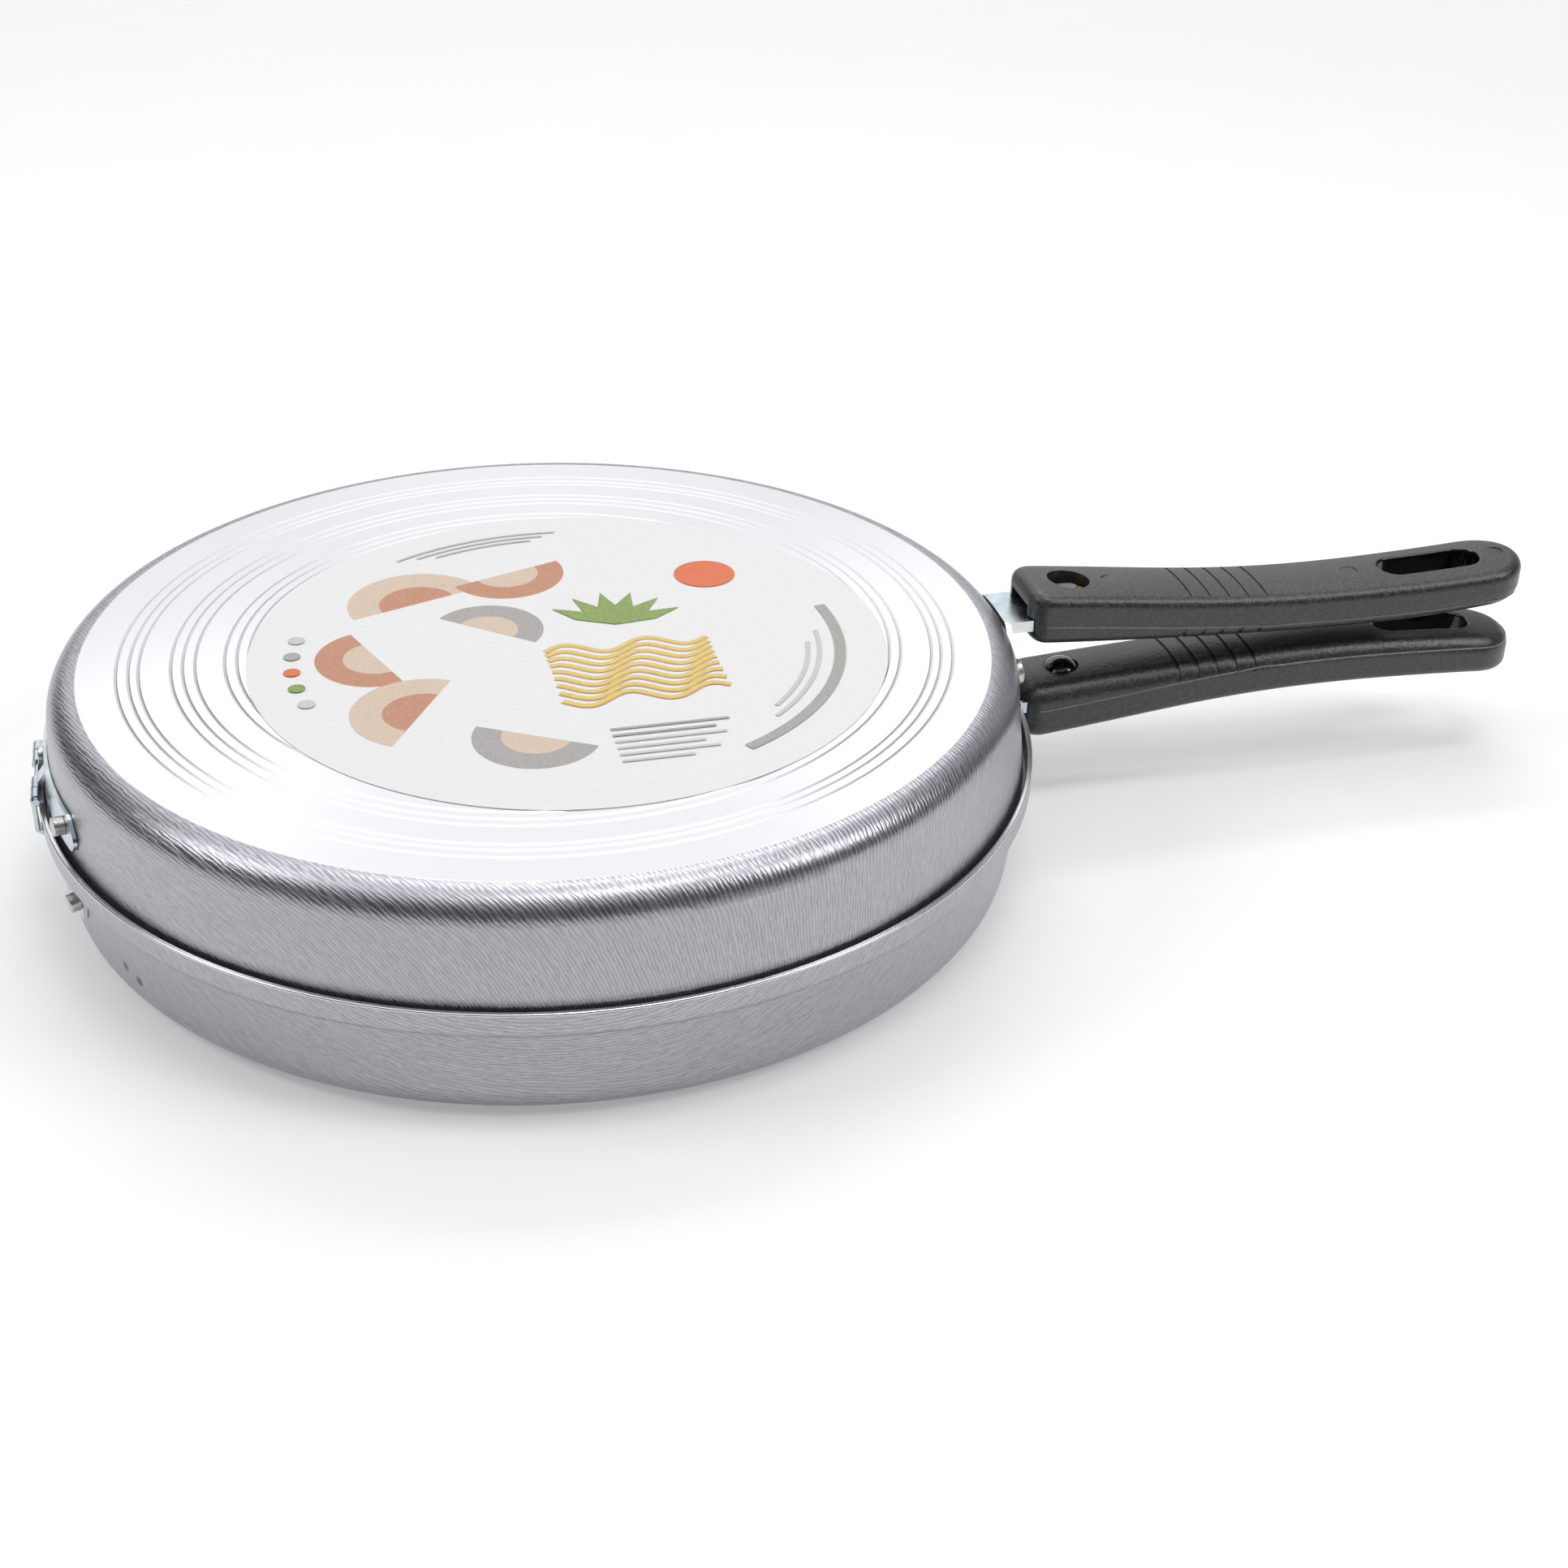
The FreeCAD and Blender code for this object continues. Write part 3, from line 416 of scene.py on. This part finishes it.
def mesh_object(name, places, faces, face_slots=None, smooth=False):
    mesh = bpy.data.meshes.new(name)
    mesh.from_pydata([tuple(p) for p in places], [], faces)
    mesh.update()
    obj = bpy.data.objects.new(name, mesh)
    bpy.context.scene.collection.objects.link(obj)
    for polygon in mesh.polygons:
        polygon.use_smooth = smooth
        if face_slots:
            polygon.material_index = face_slots[polygon.index]
    return obj


def surface_of(obj):
    return BVHTree.FromPolygons([v.co for v in obj.data.vertices],
                                [p.vertices[:] for p in obj.data.polygons])


def ridge_faces(row_count):
    """Faces of a ridge whose places come in rows of three: foot, crest, foot."""
    faces = []
    for a in range(0, 3 * (row_count - 1), 3):
        faces += [(a, a + 3, a + 4, a + 1), (a + 1, a + 4, a + 5, a + 2)]
    return faces


class FlatPrint:
    """Flat ink shapes on the label, each a little above the last so that it prints over it."""

    def __init__(self, settings):
        self.places, self.faces, self.slots = [], [], []
        self.height = label_high.z + settings.ink_thickness
        self.step = settings.ink_thickness

    def put(self, u, v):
        self.places.append((label_centre.x + u * MM, label_centre.y + v * MM, self.height))

    def shape(self, outline_mm, ink):
        first = len(self.places)
        for u, v in outline_mm:
            self.put(u, v)
        self.faces.append(tuple(range(first, len(self.places))))
        self.slots.append(ink)
        self.height += self.step

    def band(self, line_mm, width_mm, ink):
        """Ribbon of an even width along a line; its pieces share one level."""
        first, half = len(self.places), width_mm / 2
        for index, (u, v) in enumerate(line_mm):
            before = line_mm[max(index - 1, 0)]
            after = line_mm[min(index + 1, len(line_mm) - 1)]
            run = Vector((after[0] - before[0], after[1] - before[1])).normalized()
            self.put(u - run.y * half, v + run.x * half)
            self.put(u + run.y * half, v - run.x * half)
        for low in range(first, len(self.places) - 2, 2):
            self.faces.append((low, low + 1, low + 3, low + 2))
            self.slots.append(ink)
        self.height += self.step


def arc_points(centre, radius, start_deg, end_deg, count=48):
    step = (end_deg - start_deg) / count
    return [(centre[0] + radius * math.cos(math.radians(start_deg + i * step)),
             centre[1] + radius * math.sin(math.radians(start_deg + i * step)))
            for i in range(count + 1)]


def seam_line(handle, height_of, half_width, settings):
    """Fine raised line round a handle's side where the halves of its mould met."""
    outside, nose_gap = 0.05, 0.004
    along = [v.co.x for v in handle.data.vertices]
    low, high = min(along), max(along)
    centre = high - half_width
    run = centre - low - nose_gap
    count = settings.seam_steps
    starts = []
    for index in range(count):
        x = low + nose_gap + run * index / count
        starts.append((Vector((x, -outside, height_of(x))), Vector((0, 1, 0))))
    for index in range(count // 2 + 1):
        turn = math.pi * index / (count // 2) - math.pi / 2
        out = Vector((math.cos(turn), math.sin(turn), 0))
        x = centre + half_width * math.cos(turn)
        starts.append((Vector((centre, 0, height_of(x))) + outside * out, -out))
    for index in range(count):
        x = centre - run * (index + 1) / count
        starts.append((Vector((x, outside, height_of(x))), Vector((0, -1, 0))))
    half = settings.seam_width / 2
    sunk, proud = -0.3 * half, 0.9 * half
    surface, places = surface_of(handle), []
    for start, toward in starts:
        spot = surface.ray_cast(start, toward)[0]
        if spot is None:
            continue
        for rise, lift in ((-half, sunk), (0, proud), (half, sunk)):
            places.append(spot + Vector((0, 0, rise)) - toward * lift)
    return places, ridge_faces(len(places) // 3)


# Settings


class FlipPanFinish(bpy.types.PropertyGroup):
    grain_width: bpy.props.FloatProperty(
        name="Grain width", description="Spacing of the wrinkles across the rolling direction",
        default=0.00095, unit="LENGTH")
    grain_length: bpy.props.FloatProperty(
        name="Grain length", description="Length of a wrinkle along the rolling direction",
        default=0.0036, unit="LENGTH")
    grain_depth: bpy.props.FloatProperty(
        name="Grain depth", description="Height of the wrinkles under the paint",
        default=0.000034, unit="LENGTH")
    upper_grain_turn: bpy.props.FloatProperty(
        name="Upper grain direction", description="Way the upper pan's sheet was rolled",
        default=math.radians(-70), subtype="ANGLE")
    lower_grain_turn: bpy.props.FloatProperty(
        name="Lower grain direction", description="Way the lower pan's sheet was rolled",
        default=math.radians(-8), subtype="ANGLE")
    paint_dark: bpy.props.FloatVectorProperty(
        name="Paint, dark", description="Silver paint between the wrinkles",
        default=linear("#99999f"), size=4, subtype="COLOR", min=0, max=1)
    paint_pale: bpy.props.FloatVectorProperty(
        name="Paint, pale", description="Silver paint on the wrinkles",
        default=linear("#c1c0c7"), size=4, subtype="COLOR", min=0, max=1)
    paint_roughness: bpy.props.FloatProperty(
        name="Paint roughness", description="Blur of reflections in the silver paint",
        default=0.3, subtype="FACTOR", min=0, max=1)
    flake_share: bpy.props.FloatProperty(
        name="Flake share", description="How much of the paint reflects as metal",
        default=0.92, subtype="FACTOR", min=0, max=1)
    handle_dark: bpy.props.FloatVectorProperty(
        name="Handle, dark", description="Moulding between its grain",
        default=linear("#2e2e2c"), size=4, subtype="COLOR", min=0, max=1)
    handle_pale: bpy.props.FloatVectorProperty(
        name="Handle, pale", description="Moulding on its grain",
        default=linear("#4b4b49"), size=4, subtype="COLOR", min=0, max=1)
    handle_grain: bpy.props.FloatProperty(
        name="Handle grain", description="Spacing of the moulding's grain, drawn coarser",
        default=0.0009, unit="LENGTH")
    handle_grain_depth: bpy.props.FloatProperty(
        name="Handle grain depth", description="Height of the moulding's grain",
        default=0.00012, unit="LENGTH")
    slot_place: bpy.props.FloatProperty(
        name="Slot place", description="Centre of the hanging slots along the handles",
        default=0.259, unit="LENGTH")


class FlipPanDetail(bpy.types.PropertyGroup):
    ink_thickness: bpy.props.FloatProperty(
        name="Ink thickness", description="Step from one printed shape to the next",
        default=0.000006, unit="LENGTH")
    seam_width: bpy.props.FloatProperty(
        name="Seam width", description="Width of the mould seam on a handle",
        default=0.0006, unit="LENGTH")
    seam_steps: bpy.props.IntProperty(
        name="Seam steps", description="Pieces along each side of a mould seam", default=90)
    seam_from_back: bpy.props.FloatProperty(
        name="Seam place", description="Distance of the seam from a handle's flat back",
        default=0.0088, unit="LENGTH")
    thread_pitch: bpy.props.FloatProperty(
        name="Thread pitch", description="Pitch of the thread on a screw's end",
        default=0.0008, unit="LENGTH")


class FlipPanStage(bpy.types.PropertyGroup):
    floor_reach: bpy.props.FloatProperty(
        name="Floor reach", description="Half the width of the floor", default=6.0,
        unit="LENGTH")
    floor_glow: bpy.props.FloatProperty(
        name="Floor glow", default=0.26,
        description="Light added to the floor for the camera and in reflections")
    world_strength: bpy.props.FloatProperty(
        name="Room light", description="Light from all round", default=0.1)
    room_glow: bpy.props.FloatProperty(
        name="Room glow", description="How bright the pale room is in reflections",
        default=0.5)
    curtain_reach: bpy.props.FloatProperty(
        name="Curtain reach", description="Distance of the dark curtain", default=1.8,
        unit="LENGTH")
    curtain_height: bpy.props.FloatProperty(
        name="Curtain height", description="Top of the dark curtain", default=1.75,
        unit="LENGTH")
    lens: bpy.props.FloatProperty(
        name="Lens", description="Focal length on a 36 mm sensor", default=53.274,
        unit="CAMERA")


# Operators


class FLIPPAN_OT_pans(bpy.types.Operator):
    """Give both pans their paint, turned base and stone-effect inside"""

    bl_idname = "flip_pan.pans"
    bl_label = "Finish the pans"

    def execute(self, context):
        settings = context.scene.flip_pan_finish
        dress(nodes["upper_pan"], painted_pan("silver painted sheet, upper pan", True,
                                              settings.upper_grain_turn, settings))
        dress(nodes["lower_pan"], painted_pan("silver painted sheet, lower pan", False,
                                              settings.lower_grain_turn, settings))
        return {"FINISHED"}


class FLIPPAN_OT_handles(bpy.types.Operator):
    """Give both handles their moulded finish and their mould seams"""

    bl_idname = "flip_pan.handles"
    bl_label = "Finish the handles"

    def execute(self, context):
        finish = context.scene.flip_pan_finish
        detail = context.scene.flip_pan_detail
        moulding = phenolic("black phenolic compression moulding", finish.handle_dark,
                            finish.handle_pale, finish)
        # Painted highlight: the seam's pale grey is partly scraped resin and partly the light its
        # raised line catches
        flash_and_highlight = phenolic("trimmed phenolic flash", linear("#858587"), linear("#9a9a9b"),
                         finish)
        for which, side in (("upper", 1), ("lower", -1)):
            handle = nodes[which + "_handle"]
            dress(handle, moulding)
            self.add_seam(handle, which, side, detail, flash_and_highlight)
        return {"FINISHED"}

    def add_seam(self, handle, which, side, detail, flash_and_highlight):
        low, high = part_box(handle.name)
        backs = self.back_heights(handle, side)

        def height_of(x):
            share = (x - low.x) / (high.x - low.x) * (len(backs) - 1)
            index = min(int(share), len(backs) - 2)
            part = share - index
            back = backs[index] * (1 - part) + backs[index + 1] * part
            return back - side * detail.seam_from_back

        places, faces = seam_line(handle, height_of, (high.y - low.y) / 2, detail)
        seam = mesh_object(which + "_handle_seam", places, faces, smooth=True)
        dress(seam, flash_and_highlight)
        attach(seam, which + "_half")

    def back_heights(self, handle, side, count=24):
        """Heights of a handle's flat back at even steps along it, away from slot and screw."""
        beside_slot, above, nose_gap, tail_gap = -0.0082, 0.2, 0.005, 0.004
        surface = surface_of(handle)
        low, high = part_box(handle.name)
        heights = []
        for index in range(count + 1):
            x = low.x + (high.x - low.x) * index / count
            x = min(max(x, low.x + nose_gap), high.x - tail_gap)
            start = Vector((x, beside_slot, side * above))
            heights.append(surface.ray_cast(start, Vector((0, 0, -side)))[0].z)
        return heights


class FLIPPAN_OT_fittings(bpy.types.Operator):
    """Give the hinge, the brackets and the rivets their plated and headed finishes"""

    bl_idname = "flip_pan.fittings"
    bl_label = "Finish the fittings"

    def execute(self, context):
        zinc = zinc_plate()
        rivets = headed_aluminium()
        for name, obj in nodes.items():
            if name.endswith(("_leaf", "_bracket")) or name == "hinge_pin":
                dress(obj, zinc)
            elif "_rivet_" in name:
                dress(obj, rivets)
        return {"FINISHED"}


class FLIPPAN_OT_fasteners(bpy.types.Operator):
    """Give the handle screws and nuts their finishes and add the threads that show"""

    bl_idname = "flip_pan.fasteners"
    bl_label = "Finish the screws and nuts"

    def execute(self, context):
        detail = context.scene.flip_pan_detail
        lacquer = lacquered_steel()
        brass = turned_brass()
        for which, side in (("upper", 1), ("lower", -1)):
            screw, nut = nodes[which + "_handle_screw"], nodes[which + "_handle_nut"]
            dress(screw, lacquer)
            dress(nut, brass)
            for polygon in nut.data.polygons:
                polygon.use_smooth = False
            self.add_thread(which, side, detail, lacquer)
        return {"FINISHED"}

    def add_thread(self, which, side, detail, material):
        """One turned ridge on the screw's end, where it stands out of the nut."""
        radius, root, crest, half_flank = 0.0025, -0.0001, 0.00022, 0.00022
        from_end, steps = 0.0002, 64
        low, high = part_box(which + "_handle_screw")
        centre = (low + high) / 2
        end = high.z if side > 0 else low.z
        places = []
        for index in range(steps + 1):
            turn = 2 * math.pi * index / steps
            rise = end - side * (from_end + detail.thread_pitch * (1 - index / steps))
            for out, lift in ((root, -half_flank), (crest, 0.0), (root, half_flank)):
                reach = radius + out
                places.append((centre.x + reach * math.cos(turn),
                               centre.y + reach * math.sin(turn), rise + lift))
        thread = mesh_object(which + "_screw_thread", places, ridge_faces(steps + 1),
                             smooth=True)
        dress(thread, material)
        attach(thread, which + "_half")


class FLIPPAN_OT_label(bpy.types.Operator):
    """Give the label its paper and print a plain generic design on it"""

    bl_idname = "flip_pan.label"
    bl_label = "Print the label"

    def execute(self, context):
        detail = context.scene.flip_pan_detail
        dress(nodes["paper_label"], coated_paper("clay-coated label paper", "#f3f3f3",
                                                 "#fafafa", 0.5))
        inks = (("terracotta ink", "#c58a6c", "#d29a7e"), ("sand ink", "#dcc4ae", "#e6d2bf"),
                ("stone grey ink", "#a9a6a3", "#bab7b4"),
                ("pasta yellow ink", "#e8c765", "#f2d985"),
                ("leaf green ink", "#7f9a4a", "#9db266"),
                ("orange-red ink", "#e5713f", "#ee8050"),
                ("pale grey ink", "#cfcfd0", "#dadadb"))
        sheet = FlatPrint(detail)
        self.draw(sheet)
        print_ = mesh_object("label_print", sheet.places, sheet.faces, sheet.slots)
        for name, low, high in inks:
            print_.data.materials.append(coated_paper(name, low, high, 0.6))
        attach(print_, "upper_half")
        return {"FINISHED"}

    def draw(self, sheet):
        """Bowls in a row, a waving ribbon field, a fan of blades and plain rules, in
        millimetres from the label's centre."""
        terracotta, sand, grey, yellow, green, orange, pale = range(7)
        for u, v, radius, ink, turn in (
                (-36, 34, 19, sand, 20), (-10, 48, 16, terracotta, 200),
                (-50, 4, 16, terracotta, 110), (-20, 14, 15, grey, 320),
                (-42, -28, 18, sand, 60), (-16, -46, 16, grey, 150)):
            sheet.shape(arc_points((u, v), radius, turn, turn + 180), ink)
            inner = sand if ink != sand else terracotta
            sheet.shape(arc_points((u, v), 0.55 * radius, turn, turn + 180), inner)
        for row in range(9):
            line = [(-7 + step * 0.72,
                     -2 - 3.6 * row + 2.8 * math.sin(step * 0.21 + row * 0.35))
                    for step in range(61)]
            sheet.band(line, 2.1, yellow)
            sheet.band([(u, v - 0.8) for u, v in line], 0.35, terracotta)
        root_u, root_v, reach, belly, half_width = 14, 10, 20, 11, 2.6
        for blade in range(6):
            turn = math.radians(20 + 24 * blade)
            u, v = math.cos(turn), math.sin(turn)
            middle_u, middle_v = root_u + belly * u, root_v + belly * v
            sheet.shape([(root_u, root_v),
                         (middle_u - half_width * v, middle_v + half_width * u),
                         (root_u + reach * u, root_v + reach * v),
                         (middle_u + half_width * v, middle_v - half_width * u)], green)
        sheet.shape(arc_points((44, 36), 8.5, 0, 360), orange)
        for radius, start, end, width, ink in ((71, -62, 8, 3.0, grey),
                                               (65.5, -48, -4, 1.2, pale),
                                               (62.5, -44, -10, 1.2, pale)):
            sheet.band(arc_points((0, 0), radius, start, end), width, ink)
        for row, length in enumerate((30, 26, 28, 22, 25, 18)):
            v = -47 - 3.2 * row
            sheet.band([(2, v), (2 + length, v)], 1.1, grey if row < 2 else pale)
        for row in range(3):
            sheet.band(arc_points((0, 0), 73 - 2.4 * row, 84 + 3 * row, 122 - 4 * row), 0.9,
                       pale)
        for row, ink in enumerate((pale, grey, orange, green, pale)):
            centre = (-72 + 0.6 * (row - 2) ** 2, 18 - 9 * row)
            sheet.shape(arc_points(centre, 2.2, 0, 360, 24), ink)


class FLIPPAN_OT_stage(bpy.types.Operator):
    """Set up the pale floor, the soft lamps and the camera at the photo's angle"""

    bl_idname = "flip_pan.stage"
    bl_label = "Set the stage"

    def execute(self, context):
        settings = context.scene.flip_pan_stage
        self.add_floor(settings)
        self.set_world(context, settings)
        self.add_curtain(settings)
        self.add_lamps()
        self.add_camera(context, settings)
        context.scene.view_settings.view_transform = "Standard"
        return {"FINISHED"}

    def add_floor(self, settings):
        reach, below_base = settings.floor_reach, -0.0002
        floor = mesh_object("floor", [(-reach, -reach, 0), (reach, -reach, 0),
                                      (reach, reach, 0), (-reach, reach, 0)], [(0, 1, 2, 3)])
        floor.location.z = below_base
        material, tree, shader, place = new_material("white studio floor")
        grain = add(tree, "ShaderNodeTexNoise", {"Vector": place, "Scale": 0.02})
        colour = add(tree, "ShaderNodeMix", {0: grain, 6: linear("#f2f2f2"),
                                             7: linear("#f5f5f5")}, **COLOURS)
        rays = add(tree, "ShaderNodeLightPath", {}).node.outputs
        seen = add(tree, "ShaderNodeMath", {0: rays["Is Camera Ray"],
                                            1: rays["Is Glossy Ray"]}, operation="MAXIMUM")
        # Far from the object the lamps fade, so the floor's own light rises to keep it pale
        far_glow, glow_near_mm, glow_far_mm = 0.9, 900.0, 3200.0
        away = add(tree, "ShaderNodeVectorMath", {0: place}, "Value", operation="LENGTH")
        far = add(tree, "ShaderNodeMapRange", {"Value": away, "From Min": glow_near_mm,
                                               "From Max": glow_far_mm}, **SOFT_STEP)
        glow = add(tree, "ShaderNodeMix", {0: far, 2: settings.floor_glow, 3: far_glow})
        strength = add(tree, "ShaderNodeMath", {0: seen, 1: glow}, operation="MULTIPLY")
        feed(tree, shader, {"Base Color": colour, "Roughness": 0.9, "Specular IOR Level": 0.1,
                            "Emission Color": linear("#ffffff"),
                            "Emission Strength": strength})
        floor.data.materials.append(material)

    def set_world(self, context, settings):
        world = bpy.data.worlds.new("soft room")
        world.use_nodes = True
        tree = world.node_tree
        rays = add(tree, "ShaderNodeLightPath", {}).node.outputs
        strength = settings.world_strength
        for ray, seen_as in (("Is Glossy Ray", settings.room_glow), ("Is Camera Ray", 1.0)):
            strength = add(tree, "ShaderNodeMix", {0: rays[ray], 2: strength, 3: seen_as})
        feed(tree, tree.nodes["Background"], {"Color": linear("#fbfbff"),
                                              "Strength": strength})
        context.scene.world = world

    def add_curtain(self, settings):
        """Dark curtain behind the photographer, there only for what the metal reflects."""
        start_deg, sweep_deg, steps, foot = 122, 258, 36, 0.02
        places = []
        for index in range(steps + 1):
            turn = math.radians(start_deg + sweep_deg * index / steps)
            for height in (foot, settings.curtain_height):
                places.append((settings.curtain_reach * math.cos(turn),
                               settings.curtain_reach * math.sin(turn), height))
        curtain = mesh_object("studio_curtain", places, [(low, low + 2, low + 3, low + 1)
                                                         for low in range(0, 2 * steps, 2)])
        material, tree, shader, place = new_material("dark wool curtain")
        folds = add(tree, "ShaderNodeTexNoise", {"Vector": place, "Scale": 0.01})
        colour = add(tree, "ShaderNodeMix", {0: folds, 6: linear("#4e4e4d"),
                                             7: linear("#6a6a69")}, **COLOURS)
        feed(tree, shader, {"Base Color": colour, "Roughness": 0.95})
        curtain.data.materials.append(material)
        curtain.visible_camera = curtain.visible_shadow = curtain.visible_diffuse = False

    def add_lamps(self):
        for name, place, aim, width, depth, power in (
                ("back softbox", (0.1, 2.6, 1.6), (0.05, 0.0, 0.05), 3.4, 1.9, 13.0),
                ("top softbox", (0.0, 0.4, 2.4), (0.0, 0.4, 0.0), 3.0, 3.0, 21.0),
                ("strip softbox", (0.3, 1.0, 1.6), (0.22, 0.0, 0.04), 1.2, 0.25, 5.0),
                ("high softbox", (0.2, -0.25, 1.35), (0.2, 0.0, 0.03), 0.6, 0.3, 2.6),
                ("left softbox", (-1.14, 0.14, 1.11), (0.0, 0.0, 0.03), 0.6, 0.6, 4.6),
                ("right softbox", (1.09, -0.55, 1.11), (0.1, 0.0, 0.03), 0.6, 0.6, 5.4)):
            data = bpy.data.lights.new(name, "AREA")
            data.shape = "RECTANGLE"
            data.size, data.size_y, data.energy = width, depth, power
            lamp = bpy.data.objects.new(name, data)
            lamp.location = place
            toward = Vector(aim) - Vector(place)
            lamp.rotation_euler = toward.to_track_quat("-Z", "Y").to_euler()
            bpy.context.scene.collection.objects.link(lamp)

    def add_camera(self, context, settings):
        """Camera from the fit to the photo's circles: place, forward direction and roll."""
        data = bpy.data.cameras.new("photo camera")
        data.sensor_width, data.lens = 36.0, settings.lens
        camera = bpy.data.objects.new("photo camera", data)
        # The fit was made about the centre of the upper disc, in units of 120 mm
        fit_unit, disc_height = 0.12, 0.06
        pitch, roll, turn = 0.5291463, 0.01953946, math.radians(14.75)
        shift = Vector((-0.5368516, -0.3211481, 5.1166203))
        pitch_rows = Matrix(((1, 0, 0), (0, -math.sin(pitch), -math.cos(pitch)),
                             (0, math.cos(pitch), -math.sin(pitch))))
        roll_rows = Matrix(((math.cos(roll), -math.sin(roll), 0),
                            (math.sin(roll), math.cos(roll), 0), (0, 0, 1)))
        rows = roll_rows @ pitch_rows
        centre = -(rows.transposed() @ shift)
        into_row = Matrix.Rotation(-turn, 3, "Z")
        right, down, forward = [into_row @ rows[i] for i in range(3)]
        place = into_row @ centre * fit_unit + Vector((0, 0, disc_height))
        camera.matrix_world = Matrix((
            (right.x, -down.x, -forward.x, place.x), (right.y, -down.y, -forward.y, place.y),
            (right.z, -down.z, -forward.z, place.z), (0, 0, 0, 1)))
        bpy.context.scene.collection.objects.link(camera)
        context.scene.camera = camera


class FLIPPAN_PT_panel(bpy.types.Panel):
    bl_label = "Flip Pan"
    bl_idname = "FLIPPAN_PT_panel"
    bl_space_type = "VIEW_3D"
    bl_region_type = "UI"
    bl_category = "Flip Pan"

    def draw(self, context):
        for scene_name in groups:
            group = getattr(context.scene, scene_name)
            box = self.layout.box()
            for name in group.bl_rna.properties.keys():
                if name not in {"rna_type", "name"}:
                    box.prop(group, name)
        for operator in operators:
            self.layout.operator(operator.bl_idname)


groups = {"flip_pan_finish": FlipPanFinish, "flip_pan_detail": FlipPanDetail,
          "flip_pan_stage": FlipPanStage}
operators = (FLIPPAN_OT_pans, FLIPPAN_OT_handles, FLIPPAN_OT_fittings, FLIPPAN_OT_fasteners,
             FLIPPAN_OT_label, FLIPPAN_OT_stage)


def register():
    for scene_name, group in groups.items():
        bpy.utils.register_class(group)
        setattr(bpy.types.Scene, scene_name, bpy.props.PointerProperty(type=group))
    for made in operators + (FLIPPAN_PT_panel,):
        bpy.utils.register_class(made)


def unregister():
    for made in reversed(operators + (FLIPPAN_PT_panel,)):
        bpy.utils.unregister_class(made)
    for scene_name, group in reversed(groups.items()):
        delattr(bpy.types.Scene, scene_name)
        bpy.utils.unregister_class(group)


def main():
    register()
    bpy.ops.flip_pan.pans()
    bpy.ops.flip_pan.handles()
    bpy.ops.flip_pan.fittings()
    bpy.ops.flip_pan.fasteners()
    bpy.ops.flip_pan.label()
    bpy.ops.flip_pan.stage()


if __name__ == "__main__":
    main()
